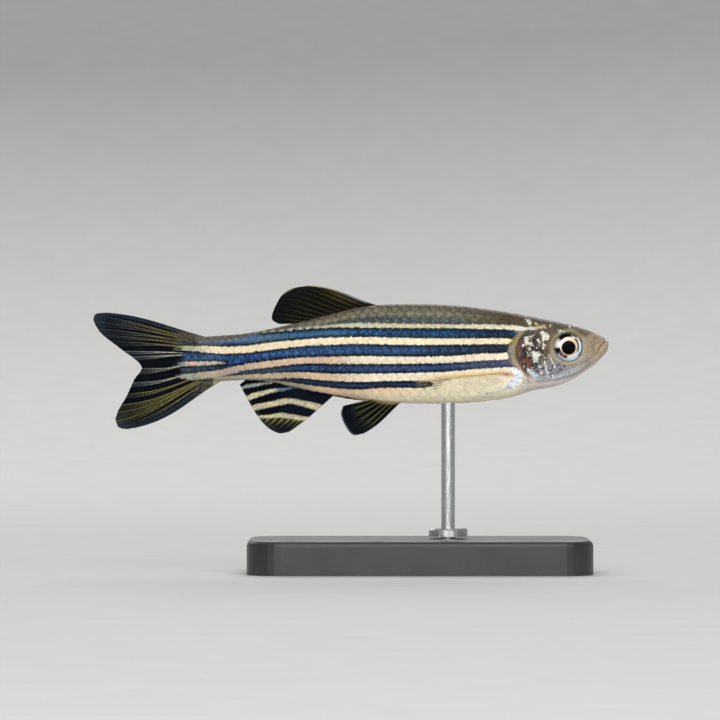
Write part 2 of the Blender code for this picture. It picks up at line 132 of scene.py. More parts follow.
# Light lines on the flank: (s, upper edge, lower edge)
LINE_A = (
    (5.5, 2.3, 2.04), (7.0, 2.2, 1.78), (8.9, 2.33, 1.93), (13.8, 2.4, 2.05), (18.2, 2.47, 2.07),
    (21.7, 2.53, 2.1), (24.3, 2.41, 2.05), (26.9, 2.21, 1.9), (29.3, 1.88, 1.7), (30.5, 1.73, 1.61),
)
LINE_B = (
    (7.6, 1.4, 1.2), (8.3, 1.1, 0.75), (9.2, 1.16, 0.7), (13.8, 1.15, 0.62), (18.2, 1.2, 0.6),
    (21.7, 1.27, 0.7), (24.3, 1.22, 0.61), (26.9, 1.05, 0.48), (29.5, 0.79, 0.17), (31.7, 0.52, -0.09),
    (33.7, 0.44, -0.17), (35.2, 0.51, -0.04), (37.4, 0.5, 0.12), (39.0, 0.36, 0.1),
)
LINE_C = (
    (8.7, -0.04, -0.65), (9.5, -0.15, -0.7), (11.2, -0.17, -0.77), (13.8, -0.38, -0.96),
    (18.2, -0.44, -1.05), (21.7, -0.38, -1.05), (24.3, -0.44, -1.05), (26.9, -0.52, -1.05),
    (29.5, -0.79, -1.34), (31.7, -1.07, -1.64), (34.4, -1.66, -2.25), (36.6, -1.9, -2.5),
    (38.6, -2.1, -2.5),
)
LINE_D = (
    (7.0, -1.3, -3.4), (11.2, -1.48, -3.4), (14.4, -1.77, -3.1), (15.2, -1.79, -2.78),
    (15.9, -1.82, -2.54), (18.2, -1.88, -2.53), (21.7, -1.92, -2.62), (24.3, -1.92, -2.53),
    (26.9, -1.79, -2.29), (29.5, -1.89, -2.36), (31.7, -2.01, -2.5), (34.5, -2.25, -2.9),
)
LINE_E = (
    (6.0, -2.5, -6.0), (14.4, -2.6, -6.0), (15.2, -2.84, -6.0), (15.9, -3.12, -6.0),
    (18.2, -3.14, -6.0), (20.4, -3.19, -5.6), (21.7, -3.3, -4.3), (24.3, -3.14, -3.71),
    (26.9, -2.81, -3.23), (28.7, -2.53, -2.85), (30.2, -2.4, -2.7), (31.5, -2.4, -2.7),
)
STREAK = (
    (33.4, -0.96, -1.05), (34.4, -0.82, -1.12), (35.7, -0.86, -1.2), (37.0, -0.88, -1.25),
    (38.6, -1.0, -1.2),
)
# Upper edge of the first dark stripe behind the first light line
STRIPE_END_TOP = ((32.2, 1.28), (33.2, 1.1), (35.0, 1.0), (BODY_END, 0.88))
BEAD_PITCH = 0.77


def linear(colour):
    """Linear colour. A tuple holds the 0 to 255 values that a display takes; an array is linear."""
    if not isinstance(colour, tuple):
        return colour
    parts = np.array(colour) / 255
    return np.where(parts <= 0.04045, parts / 12.92, ((parts + 0.055) / 1.055) ** 2.4)


def ramp(value, low, high):
    """Smooth step from 0 at low to 1 at high."""
    share = np.clip((value - low) / (high - low), 0, 1)
    return share * share * (3 - 2 * share)


def fall(value, low, high):
    """Smooth step from 1 at low to 0 at high."""
    return 1 - ramp(value, low, high)


def between(value, start, full, last, end):
    """Smooth share that is 1 from full to last and 0 before start and after end."""
    return ramp(value, start, full) * fall(value, last, end)


def hump(distance, width):
    """Smooth share that is 1 where the distance is 0 and small beyond the width."""
    return np.exp(-((distance / width) ** 2))


def fade(first, second, share):
    """Colour between two colours, at a share for each vertex."""
    share = np.asarray(share)[..., None]
    return linear(first) * (1 - share) + linear(second) * share


def painted(colour, *layers):
    """Colour with layers laid over it in turn, each a share and a colour."""
    for share, layer in layers:
        colour = fade(colour, layer, share)
    return colour


def through(stations, measure=np.asarray):
    """Smooth function that passes through (place, value) stations. What follows a value is left out."""
    knots = measure(np.array([station[0] for station in stations], float))
    values = np.array([station[1] for station in stations], float)
    last = len(knots) - 1
    low = np.maximum(np.arange(last + 1) - 1, 0)
    high = np.minimum(np.arange(last + 1) + 1, last)
    slopes = (values[high] - values[low]) / (knots[high] - knots[low])

    def value_at(at):
        knot = np.clip(measure(np.asarray(at, float)), knots[0], knots[-1])
        i = np.clip(np.searchsorted(knots, knot, side="right") - 1, 0, last - 1)
        span = knots[i + 1] - knots[i]
        t = (knot - knots[i]) / span
        rise = t * t * (3 - 2 * t)
        start = t * (1 - t) ** 2
        end = t * t * (t - 1)
        return (
            values[i] + rise * (values[i + 1] - values[i])
            + span * (start * slopes[i] + end * slopes[i + 1])
        )

    return value_at


def from_snout(s):
    """Measure along the body that opens up the blunt snout, whose outline starts upright."""
    return np.sqrt(np.maximum(s, 0.0))


back_at = through(BACK, from_snout)
belly_at = through(BELLY, from_snout)
half_width_at = through(HALF_WIDTH, from_snout)
widest_at = through(WIDEST, from_snout)
opercle_at = through(OPERCLE_EDGE)
membrane_at = through(MEMBRANE_EDGE)
scale_front_at = through(SCALE_FRONT)
pitch_at = through(PITCH)
row_step_at = through(ROW_STEP)


def placed(points):
    """Points in metres for (s, y, z) points of the fish."""
    moved = np.empty(points.shape)
    moved[..., 0] = TOTAL_LENGTH / 2 - points[..., 0]
    moved[..., 1] = points[..., 1]
    moved[..., 2] = AXIS_HEIGHT + points[..., 2]
    return moved * MM


def on_body(s, turn):
    """Points (s, y, z) of the body's surface. Turn is 0 at the back, 0.25 on the left side."""
    s, turn = np.broadcast_arrays(np.asarray(s, float), np.asarray(turn, float))
    side = np.sin(2 * math.pi * turn)
    up = np.cos(2 * math.pi * turn)
    power = 2 / ROUNDNESS
    middle = widest_at(s)
    reach = np.where(up > 0, back_at(s) - middle, middle - belly_at(s))
    y = half_width_at(s) * np.sign(side) * np.abs(side) ** power
    z = middle + reach * np.sign(up) * np.abs(up) ** power
    return np.stack((s, y, z), -1)


def body_normal(s, turn):
    """Outward directions of the body's surface."""
    small = 0.01
    along = on_body(s + small, turn) - on_body(np.maximum(s - small, 0.001), turn)
    around = on_body(s, turn + small) - on_body(s, turn - small)
    normal = np.cross(along, around)
    return normal / np.linalg.norm(normal, axis=-1, keepdims=True)


def side_of_body(s, z):
    """Half the body's width at a height over the axis."""
    middle = widest_at(s)
    reach = np.where(z > middle, back_at(s) - middle, middle - belly_at(s))
    share = np.minimum(np.abs(z - middle) / reach, 1.0)
    return half_width_at(s) * (1 - share ** ROUNDNESS) ** (1 / ROUNDNESS)


def smooth_path(points, steps=6):
    """Points along a smooth curve through a few (s, z) points."""
    at = np.linspace(0, len(points) - 1, steps * (len(points) - 1) + 1)
    columns = [through([(i, point[axis]) for i, point in enumerate(points)])(at) for axis in (0, 1)]
    return np.stack(columns, -1)


def distance_to(path, s, z):
    """Distance in the side view from places to a path."""
    nearest = np.full(np.shape(s), 1e3)
    for (s0, z0), (s1, z1) in zip(path, path[1:]):
        ds, dz = s1 - s0, z1 - z0
        share = np.clip(((s - s0) * ds + (z - z0) * dz) / (ds * ds + dz * dz + 1e-12), 0, 1)
        nearest = np.minimum(nearest, np.hypot(s - s0 - share * ds, z - z0 - share * dz))
    return nearest


def mottle(s, z, size, seed):
    """Cloudy number from 0 to 1 over the side view, with clouds of a size in millimetres."""
    cloud = np.random.default_rng(seed).random((64, 64))
    across, up = s / size, (z + 8) / size
    i, j = np.floor(across).astype(int), np.floor(up).astype(int)
    a, b = ramp(across - i, 0, 1), ramp(up - j, 0, 1)
    corners = [cloud[(i + di) % 64, (j + dj) % 64] for di in (0, 1) for dj in (0, 1)]
    near = corners[0] * (1 - b) + corners[1] * b
    far = corners[2] * (1 - b) + corners[3] * b
    return near * (1 - a) + far * a


def crease(s, z, points, width, height):
    """Ridge, or groove where the height is negative, along a curve on the side of the head."""
    return height * hump(distance_to(smooth_path(points), s, z), width)


def scaled(s, z):
    """Share of the scaled skin: 0 on the head, 1 behind the line where the scales start."""
    return ramp(s - scale_front_at(z), -0.1, 0.3)


def gill_relief(s, z):
    """Gill cover that flares to the rear and steps down at its edge, with a soft edge behind it."""
    tall = between(z, -2.75, -1.9, 1.9, 2.6)
    plate = 0.13 * ramp(s, 5.2, 7.6) * ramp(opercle_at(z) - s, -0.04, 0.05)
    soft = 0.07 * ramp(s, 6.2, 8.0) * ramp(membrane_at(z) - s, -0.03, 0.05)
    dip = 0.05 * between(s - membrane_at(z), -0.05, 0.02, 0.05, 0.6)
    return tall * (plate + soft - dip)


def mouth_relief(s, z):
    """Slit of the mouth between its two lips."""
    relief = crease(s, z, MOUTH_SLIT, 0.05, -0.13)
    relief += crease(s, z, [(a + 0.2, b + 0.2) for a, b in MOUTH_SLIT[:-1]], 0.1, 0.05)
    return relief + crease(s, z, [(a - 0.06, b - 0.24) for a, b in MOUTH_SLIT[:-1]], 0.14, 0.07)


def side_relief(s, z):
    """How far the skin of the side of the head stands out from the plain body."""
    relief = gill_relief(s, z)
    for ridge in PREOPERCLE_RIDGES:
        relief += crease(s, z, ridge, 0.07, 0.05)
    relief += crease(s, z, THROAT_FOLD, 0.12, -0.04)
    relief += crease(s, z, MAXILLA_REAR, 0.05, -0.04)
    for at_s, at_z in NOSTRILS:
        distance = np.hypot(s - at_s, z - at_z)
        relief += 0.03 * hump(distance - 0.13, 0.05) - 0.12 * hump(distance, 0.08)
    return relief


def add_piece(name, points, faces, looks, material, replaced=()):
    """Piece from points in metres, its faces turned out, with its markings and its material."""
    mesh = bpy.data.meshes.new(name)
    mesh.from_pydata(np.asarray(points).tolist(), [], faces)
    whole = bmesh.new()
    whole.from_mesh(mesh)
    bmesh.ops.recalc_face_normals(whole, faces=whole.faces)
    whole.to_mesh(mesh)
    whole.free()
    mesh.shade_smooth()
    for mark, values in looks.items():
        if values.ndim == 2:
            data = np.ones((len(values), 4), np.float32)
            data[:, :3] = values
            mesh.attributes.new(mark, "FLOAT_COLOR", "POINT").data.foreach_set("color", data.ravel())
        else:
            data = values.astype(np.float32)
            mesh.attributes.new(mark, "FLOAT", "POINT").data.foreach_set("value", data)
    piece = bpy.data.objects.new(name, mesh)
    bpy.context.scene.collection.objects.link(piece)
    mesh.materials.append(material)
    if replaced:
        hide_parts(*replaced)
    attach(piece, "root")
    return piece


def bake_map(piece, places):
    """Map of the piece's surface for the export, from a place in the unit square for each vertex."""
    mesh = piece.data
    corners = np.empty(len(mesh.loops), np.int32)
    mesh.loops.foreach_get("vertex_index", corners)
    layer = mesh.uv_layers.new(name="OFBake")
    layer.data.foreach_set("uv", np.asarray(places, np.float32)[corners].ravel())


def ring_faces(rows, columns, first=0):
    """Quads between rows of vertices, from vertex first, that close round on themselves."""
    faces = []
    for i in range(rows - 1):
        for j in range(columns):
            a = first + i * columns + j
            b = first + i * columns + (j + 1) % columns
            faces.append((a, b, b + columns, a + columns))
    return faces


def tube_faces(rows, columns, first=0):
    """Faces of a tube of rings, from vertex first, and of fans to two vertices that close its ends."""
    faces = ring_faces(rows, columns, first)
    tip = first + rows * columns
    last = tip - columns
    for j in range(columns):
        k = (j + 1) % columns
        faces.append((tip, first + k, first + j))
        faces.append((tip + 1, last + j, last + k))
    return faces


def plate_faces(rows, columns):
    """Quads of a closed thin plate: a grid of upper vertices followed by the same of lower ones."""
    lower = rows * columns
    faces = []
    for i in range(rows - 1):
        for j in range(columns - 1):
            a = i * columns + j
            corners = (a, a + 1, a + columns + 1, a + columns)
            faces.append(corners)
            faces.append([lower + corner for corner in reversed(corners)])
    rim = list(range(columns))
    rim += [i * columns + columns - 1 for i in range(1, rows)]
    rim += [(rows - 1) * columns + j for j in range(columns - 2, -1, -1)]
    rim += [i * columns for i in range(rows - 2, 0, -1)]
    for a, b in zip(rim, rim[1:] + rim[:1]):
        faces.append((b, a, lower + a, lower + b))
    return faces


# Markings of the body

CREAM = (233, 220, 186)
BELLY_CREAM = (249, 239, 207)
# Change of the lowest lines towards the root of the tail fin: (start, end, colour)
UNDER_TAIL = (30.5, 34.0, (156, 153, 130))
MID_NAVY = (15, 34, 64)
RAGGED = 0.4
# Colour of each light line: that at the snout, then changes of (start, end, colour)
LINE_COLOURS = (
    (LINE_A, ((228, 218, 188), (9, 16, (202, 195, 159)), (22, 27, (168, 170, 150)))),
    (LINE_B, (
        (225, 205, 110), (8.4, 9.2, CREAM), (22, 31, (225, 209, 176)), (33.5, 37.0, (170, 170, 140)),
    )),
    (LINE_C, (
        (236, 222, 196), (21.3, 24.3, (205, 180, 154)), (29.8, 33.0, (172, 156, 143)),
        (33.6, 34.8, (182, 168, 147)), (35.2, 36.6, (154, 157, 139)),
    )),
    (LINE_D, (
        (206, 190, 166), (7.0, 8.4, BELLY_CREAM), (8.4, 9.2, (246, 233, 208)),
        (20.5, 24.5, (214, 187, 157)), (25.5, 28.0, (190, 169, 141)), (28.0, 29.5, (198, 182, 154)),
        UNDER_TAIL,
    )),
    (LINE_E, (
        (222, 210, 192), (7.0, 8.4, BELLY_CREAM), (18.5, 23.5, (190, 172, 148)),
        (24.0, 27.5, (170, 163, 142)), UNDER_TAIL,
    )),
    (STREAK, (
        (186, 178, 158), (35.9, 36.15, (218, 172, 152)), (36.65, 36.9, (186, 178, 158)),
        (36.9, 37.2, (140, 152, 150)),
    )),
)


def line_distance(stations, s, z):
    """How far inside a light line a place lies; negative outside."""
    top = through(stations)(s)
    bottom = through([station[::2] for station in stations])(s)
    across = np.minimum(top - z, z - bottom)
    return np.minimum(across, np.minimum(s - stations[0][0], stations[-1][0] - s))


def along_body(s, colour, *changes):
    """Colour along the body, from that at the snout and changes of (start, end, colour)."""
    return painted(colour, *((ramp(s, start, end), following) for start, end, following in changes))


def line_colours(s):
    """Light lines with the colour of each along the body."""
    return [(stations, along_body(s, *colours)) for stations, colours in LINE_COLOURS]


def stripe_colour(s, z):
    """Colour of the middle of the dark stripes, between their flecks."""
    first = ramp(z, 0.6, 1.0)
    second = ramp(z, -0.5, -0.1) * (1 - first)
    third = between(z, -2.2, -1.9, -1.0, -0.7)
    fourth = fall(z, -2.2, -1.9)
    stripes = (
        (first, along_body(s, MID_NAVY, (21.5, 24.0, (56, 80, 102)), (27.0, 30.0, (82, 98, 106)))),
        (second, along_body(s, (6, 16, 30), (14.0, 18.0, (30, 52, 84)), (26.0, 29.0, (26, 50, 81)))),
        (third, along_body(s, (44, 64, 100), (21.0, 23.0, (22, 42, 70)), (24.0, 26.0, (28, 52, 84)))),
        (fourth, (40, 60, 88)),
        (1 - first - second - third - fourth, MID_NAVY),
    )
    return sum(share[..., None] * linear(colour) for share, colour in stripes)


def back_colour(s, z):
    """Colour between the back and the first light line, in bands that follow the rows of scales."""
    depth = (back_at(s) - z) * (1 + 0.5 * ramp(s, 17, 24))
    colour = painted(
        (100, 92, 79), (ramp(depth, 0.3, 0.75), (124, 124, 102)), (ramp(depth, 0.95, 1.4), (68, 78, 84)),
        (ramp(s, 27, 31) * 0.8, (100, 98, 90)),
    )
    return fade((82, 70, 50), colour, ramp(s, 7.5, 15.0))


def tail_root(s, z, dark, blue):
    """Speckled grey skin over the root of the tail fin in place of the dark stripes' ends."""
    upper = ramp(z, 0.45, 0.7)
    pale = ramp(s, 33.0, 34.6) * upper
    olive = ramp(s, 35.4, 36.6) * upper
    lower = ramp(s, 32.6, 34.0) * fall(z + 0.22 * (s - 34), -2.3, -2.0)
    greyer = ramp(s, 33.0, 34.4) * between(z, -1.0, -0.7, -0.3, 0.0) * 0.5
    patchy = 0.6 * ramp(s, 32.8, 34.2) * ramp(mottle(s, z, 0.28, 71), 0.45, 0.75) * (1 - upper)
    dark = painted(
        dark, (pale * 0.5, (104, 106, 104)), (olive, (54, 53, 43)), (lower, (88, 85, 70)),
        (greyer, (66, 88, 106)), (patchy, (18, 27, 40)),
    )
    for share in (patchy, 0.25 * pale, olive, lower, ramp(s, 36.4, 37.4)):
        blue = blue * (1 - share)
    return dark, blue


def light_lines(s, z):
    """How far inside a light line a place lies, and the colour of the nearest line."""
    edge = np.full(s.shape, -1.0)
    light = np.broadcast_to(linear(CREAM), s.shape + (3,))
    for stations, colour in line_colours(s):
        inside = line_distance(stations, s, z)
        if stations is LINE_A:
            inside = beaded(inside, s)
        nearer = inside > edge
        edge = np.where(nearer, inside, edge)
        light = np.where(nearer[..., None], colour, light)
    blush = between(s, 15.5, 18.5, 25, 27) * between(z, -4.1, -3.6, -3.1, -2.9)
    return edge, fade(light, (244, 206, 168), blush * (0.3 + 0.6 * mottle(s, 1.6 * z, 0.5, 61)))


def body_looks(s, z):
    """Markings of the trunk and tail at places of the side view."""
    edge, light = light_lines(s, z)
    first_line = through(LINE_A + STRIPE_END_TOP)(s)
    soft = 0.16 * ramp(s, 29, 32)
    on_back = ramp(z, first_line - 0.2 - soft, first_line + 0.02 + soft)
    grey = fall(s, 9.5, 15) * fall(z, -0.7, -0.4) * 0.85
    middle = ramp(-edge, 0.08, 0.38)
    upper = ramp(z, -0.5, -0.1)
    front = fall(s, 9.5, 14.5) * upper * (1 - on_back)
    slate = ramp(s, 26.5, 29.5) * fall(z, -1.6, -1.1) * (1 - on_back)
    trunk = fall(s, 22, 30)
    dark = painted(
        (8, 14, 27), (middle, stripe_colour(s, z)), (grey, (62, 70, 94)), (on_back, back_colour(s, z)),
        (0.6 * front, (10, 18, 28)), (0.65 * slate, (62, 74, 86)),
    )
    blue = middle * (0.86 + 0.14 * ramp(s, 16, 30))
    fourth = 0.05 + 0.45 * fall(z, -2.2, -1.8)
    second_front = fall(s, 14, 18) * upper * fall(z, 0.6, 1.0)
    low = fourth * fall(z, -1.4, -0.6) * fall(s, 24, 32)
    for share in (low, on_back, 0.45 * front, 0.2 * second_front, 0.1 * slate):
        blue = blue * (1 - share)
    dark, blue = tail_root(s, z, dark, blue)
    back_flecks = fade((146, 138, 112), (132, 150, 168), ramp(back_at(s) - z, 0.8, 1.3))
    glint = painted(
        (64, 124, 204), (ramp(z, 0.6, 1.4) * (1 - 0.7 * ramp(s, 26, 32)), (54, 138, 198)),
        (fall(z, -1.2, -0.6) * trunk * 0.85, (98, 130, 180)),
        (between(z, -0.6, -0.3, 0.5, 0.8) * trunk * 0.7, (66, 112, 158)),
        (grey, (124, 134, 164)), (slate, (96, 118, 136)), (on_back, back_flecks),
    )
    deep = ramp(edge, 0.1, 0.2)
    return {
        "light": light,
        "dark": fade(dark, light, ramp(edge, 0.12, 0.26)),
        "glint": glint,
        "edge": edge,
        "blue": (blue + 0.5 * on_back * ramp(s, 9, 14)) * (1 - deep),
        "speck": (0.12 + 0.46 * on_back) * (1 - 0.6 * deep),
        "outline": on_back * 0.48 + 0.04,
        "shine": 0.03 + 0.12 * blue,
        "ragged": np.full(s.shape, RAGGED),
    }


def beaded(inside, s):
    """First light line, which breaks into a bead for each scale towards the tail."""
    return inside - 0.09 * ramp(s, 18, 25) * (0.5 - 0.5 * np.cos(2 * math.pi * s / BEAD_PITCH))


# Markings of the head

# White blotches: (s, z, radius)
BLOTCHES = (
    (6.38, -0.3, 0.32), (6.45, -0.66, 0.27), (6.62, -0.1, 0.16), (5.6, 1.3, 0.33), (5.78, 1.54, 0.22),
    (5.7, 0.98, 0.14), (6.2, 1.04, 0.15), (6.05, 0.85, 0.1), (5.76, 0.52, 0.15), (5.74, 0.3, 0.12),
    (7.28, 1.04, 0.2), (7.22, 0.78, 0.18), (6.82, 0.64, 0.19), (7.55, 0.5, 0.12), (6.9, 1.28, 0.08),
    (6.98, 0.2, 0.13), (7.0, -0.4, 0.08), (6.1, -1.3, 0.17), (6.75, -1.85, 0.22),
    (6.45, -2.15, 0.22), (7.0, -1.6, 0.16), (5.95, -1.75, 0.12), (4.3, 1.8, 0.11), (4.02, 1.84, 0.1),
    (6.95, 2.5, 0.15), (7.05, 2.72, 0.13), (7.6, 2.75, 0.12), (7.3, 2.9, 0.08), (6.3, 2.42, 0.12),
    (5.7, 2.25, 0.13), (5.1, 2.3, 0.09), (4.95, -2.2, 0.2), (5.5, -2.28, 0.16), (4.25, -2.1, 0.14),
    (3.4, 2.2, 0.05), (3.1, 2.28, 0.04), (2.9, 2.3, 0.03),
)
# Patches of the ground colour: (s, z, length, height, colour)
HEAD_PATCHES = (
    (2.0, 0.9, 1.9, 1.6, (158, 139, 112)),
    (1.9, -0.9, 1.5, 1.0, (168, 154, 142)),
    (3.4, -2.0, 2.2, 0.9, (164, 150, 144)),
    (3.6, 1.9, 3.0, 0.7, (104, 88, 66)),
    (5.9, 1.3, 1.3, 1.0, (92, 74, 54)),
    (5.7, 0.3, 0.7, 1.2, (90, 73, 54)),
    (4.9, -1.5, 1.5, 1.0, (132, 126, 128)),
    (7.6, 2.5, 1.7, 1.1, (84, 70, 50)),
    (7.05, 0.2, 1.6, 2.0, (32, 21, 17)),
    (6.7, -1.3, 1.1, 1.0, (42, 28, 27)),
)
CHEEK_BAND = ((6.7, -2.0), (6.2, -2.4), (5.3, -2.45), (4.4, -2.3), (3.4, -1.8), (1.9, -0.9))
LIP_TOP = ((0.3, 1.05), (0.7, 1.38), (1.15, 1.62))
# Creases of the snout, along which the colour is darkened as painted shade
NOSTRIL_FOLD = ((1.82, 1.25), (1.68, 0.9), (1.36, 0.92), (1.2, 1.25))
LIP_FOLD = ((1.42, 1.06), (1.0, 1.36))


def head_colour(s, z):
    """Ground colour of the head."""
    colour = (156, 138, 112)
    for at_s, at_z, wide, tall, patch in HEAD_PATCHES:
        away = np.hypot((s - at_s) / wide, (z - at_z) / tall)
        colour = fade(colour, patch, fall(away, 0.55, 1.05))
    rear_red = hump(s - opercle_at(z) + 0.32, 0.25) * between(z, -1.8, -1.0, 0.5, 1.2)
    off_opercle = ramp(np.hypot((s - 6.7) / 1.5, z / 2.2), 0.8, 1.05)
    brown = ramp(mottle(s, z, 0.3, 5), 0.5, 0.75) * (1 - off_opercle)
    streak = crease(s, z, ((7.2, -0.8), (7.1, -1.05), (7.05, -1.3)), 0.1, 1.0)
    crown = fall(back_at(s) - z, 0.3, 1.1) * ramp(s, 2.0, 4.5)
    around_eye = between(np.hypot(s - EYE_PLACE[0], z - EYE_PLACE[1]), 1.2, 1.3, 1.42, 1.62)
    lid = fade((172, 160, 124), (150, 134, 104), ramp(z, 0.4, 1.4))
    jaw = fall(distance_to(smooth_path(((0.1, 0.7), (0.7, -0.3), (1.3, -0.9))), s, z), 0.2, 0.5)
    colour = painted(
        colour, (rear_red * 0.8, (88, 42, 26)), (brown * 0.7, (104, 74, 52)),
        (streak * 0.75, (150, 82, 46)), (crown, (72, 60, 42)), (around_eye * 0.8, lid),
        (throat_share(s, z), (222, 212, 208)), (jaw * 0.6, (192, 174, 152)),
    )
    return mouth_colour(s, z, colour)


def mouth_colour(s, z, colour):
    """Lips over the colour of the snout, with painted shade along the slit of the mouth, along its creases
    and in the nostrils.
    """
    patch = fall(np.hypot((s - 0.92) / 0.42, (z - 0.3) / 0.62), 0.5, 1.0)
    nostrils = hump(np.hypot((s - 2.03) / 1.4, z - 1.45), 0.1)
    fold_shade = [
        (crease(s, z, fold, 0.05, depth), (92, 72, 50))
        for fold, depth in ((MAXILLA_REAR, 0.4), (NOSTRIL_FOLD, 0.4), (LIP_FOLD, 0.6))
    ]
    # The slit, the creases and the nostrils are painted darker as painted shade
    return painted(
        colour, (patch * 0.55, (184, 160, 120)), (crease(s, z, LIP_TOP, 0.16, 0.75), (178, 170, 170)),
        (crease(s, z, MOUTH_SLIT, 0.05, 0.62), (74, 56, 42)), *fold_shade, (nostrils * 0.85, (46, 34, 26)),
    )


def throat_share(s, z):
    """1 below the fold of the throat and along the lower jaw."""
    fold = through([(0.0, 0.1), (1.3, -0.95), *THROAT_FOLD])(s)
    return fall(z - fold, -0.14, 0.12)


def behind_gill(s, z):
    """Share and colour of the bare skin between the gill cover and the scales."""
    rear = ramp(s - opercle_at(z), 0.1, 0.4)
    pale = rear * 0.7 * ramp(mottle(s, z, 0.2, 51), 0.5, 0.75)
    olive = painted((140, 126, 84), (rear, (124, 117, 102)), (pale, (186, 168, 146)))
    colour = painted(
        (196, 162, 142), (ramp(z, -1.5, -0.6), olive), (between(z, 0.3, 0.9, 1.2, 1.7), (146, 132, 74)),
        (fall(z, -2.6, -2.0), (222, 212, 196)),
    )
    return ramp(s - opercle_at(z), -0.03, 0.06) * fall(z, 1.7, 2.3), colour


def in_spots(spots, s, z, warp, size, seed):
    """How far inside a ragged spot of (s, z, radius) a place lies; negative outside."""
    warped_s = s + warp * (mottle(s, z, size, seed) - 0.5)
    warped_z = z + warp * (mottle(s, z, size, seed + 1) - 0.5)
    inside = np.full(s.shape, -1.0)
    for at_s, at_z, radius in spots:
        inside = np.maximum(inside, radius - np.hypot(warped_s - at_s, warped_z - at_z))
    return inside


def blotch_distance(s, z):
    """How far inside a white blotch a place lies; negative outside."""
    inside = in_spots(BLOTCHES, s, z, 0.2, 0.14, 1)
    for ridge in PREOPERCLE_RIDGES:
        inside = np.maximum(inside, 0.065 - distance_to(smooth_path(ridge), s, z))
    opercle = fall(np.hypot((s - 6.7) / 1.4, (z + 0.2) / 2.2), 0.7, 1.0)
    crumbs = 0.3 * (mottle(s, z, 0.17, 3) - 1.15 + 0.24 * opercle)
    inside = np.maximum(inside, crumbs)
    broken = 0.16 * mottle(s, 2.2 * z, 0.3, 4) * ramp(z, 1.6, 1.8)
    return np.maximum(inside, line_distance(LINE_A, s, z) + 0.04 - broken)


def head_looks(s, z):
    """Markings of the head at places of the side view."""
    bare_share, bare = behind_gill(s, z)
    covered = 1 - bare_share
    throat = throat_share(s, z)
    band = fall(distance_to(smooth_path(CHEEK_BAND), s, z), 0.12, 0.45)
    cheek = fall(np.hypot((s - 5.0) / 1.9, (z + 1.5) / 1.25), 0.6, 1.1) * (1 - throat)
    opercle = fall(np.hypot((s - 6.8) / 1.5, z / 1.9), 0.8, 1.05) * covered
    silver = band * 0.8 * ramp(s, 1.6, 3.0) * covered * (1 - throat)
    speck = 0.25 + 0.8 * cheek + 0.1 * band + 0.3 * opercle
    white = fade((224, 220, 206), (220, 226, 232), fall(z, -1.6, -1.0))
    golden = ramp(z, 1.85, 2.1) * between(s, 4.8, 5.4, 6.3, 6.9)
    return {
        "light": fade(white, (200, 186, 136), golden),
        "dark": painted(head_colour(s, z), (bare_share, bare), (silver, (206, 210, 214))),
        "glint": np.broadcast_to(linear((206, 212, 222)), s.shape + (3,)),
        "edge": np.where(throat > 0.5, -1.0, blotch_distance(s, z)),
        "blue": np.clip(0.45 * cheek + 0.12 * (1 - throat), 0, 1),
        "speck": np.clip(speck, 0, 1) * (1 - 0.92 * throat) * (1 - 0.8 * bare_share),
        "outline": np.zeros(s.shape),
        "shine": 0.04 + 0.12 * band,
        "ragged": np.full(s.shape, RAGGED),
    }


# Silver spots behind the gill opening: (s, z, radius)
SILVER_SPOTS = (
    (8.5, -1.5, 0.14), (8.15, -1.72, 0.28), (7.85, -2.05, 0.42), (8.0, -2.4, 0.48), (8.35, -2.75, 0.42),
    (8.75, -3.05, 0.3), (9.15, -3.3, 0.15), (9.55, -3.48, 0.12), (9.85, -3.55, 0.08), (10.2, -3.66, 0.09),
    (10.7, -3.74, 0.07), (11.1, -3.85, 0.06), (9.0, -3.02, 0.08), (9.5, -3.2, 0.06), (7.45, -2.85, 0.1),
)
PECTORAL_BASE = ((8.35, -1.95), (8.8, -1.98), (9.4, -1.9))
PECTORAL_FOLD = ((9.3, -1.9), (11.4, -1.98), (13.4, -2.12), (15.2, -2.36))


def with_silver_patch(s, z, looks):
    """Bright silver behind the gill opening, with the brown root of the pectoral fin behind it."""
    inside = np.minimum(in_spots(SILVER_SPOTS, s, z, 0.26, 0.2, 6), s - membrane_at(z) + 0.25)
    root = crease(s, z, PECTORAL_BASE, 0.22, 1.0)
    fold = crease(s, z, PECTORAL_FOLD, 0.16, 0.75)
    spot = hump(np.hypot(s - 8.98, 1.6 * (z + 1.98)), 0.24)
    brown = fade((200, 150, 114), (112, 68, 44), spot)
    # Silver: light grey with white flecks, streaked blue-grey as painted shade in it
    silver = painted(
        (208, 216, 230), (ramp(mottle(s, z, 0.16, 8), 0.2, 0.6), (248, 252, 255)),
        (0.8 * ramp(mottle(s + 0.7 * z, 2.2 * z, 0.2, 9), 0.6, 0.8), (134, 142, 164)),
    )
    near = ramp(inside, -0.03, 0.03)
    for mark in ("light", "dark"):
        looks[mark] = painted(looks[mark], (fold, (224, 190, 116)), (root * 0.85, brown), (near, silver))
    for mark in ("blue", "speck"):
        looks[mark] = looks[mark] * (1 - near)
    return looks


def fish_looks(s, z):
    """Markings of the whole body, which the skin and the scales share."""
    body = body_looks(s, z)
    head = head_looks(s, z)
    low = fall(z, -3.0, -2.3)
    border = np.where(z > 1.75, scale_front_at(z), membrane_at(z))
    gate = ramp(s - border, -0.02 - 0.4 * low, 0.35 + 1.1 * low)
    looks = {}
    for mark, values in body.items():
        share = gate[..., None] if values.ndim > gate.ndim else gate
        looks[mark] = head[mark] * (1 - share) + values * share
    return with_silver_patch(s, z, looks)


# Finishes

PIGMENT = (0.012, 0.01, 0.012, 1.0)
SCALE_OUTLINE = (0.04, 0.032, 0.024, 1.0)


def attribute(tree, name, output="Fac"):
    """Value of a mark at the shaded point."""
    node = tree.nodes.new("ShaderNodeAttribute")
    node.attribute_name = name
    return node.outputs[output]


def put(tree, socket, value):
    """Sets a socket to a number or colour, or links it."""
    if isinstance(value, bpy.types.NodeSocket):
        tree.links.new(value, socket)
    else:
        socket.default_value = value


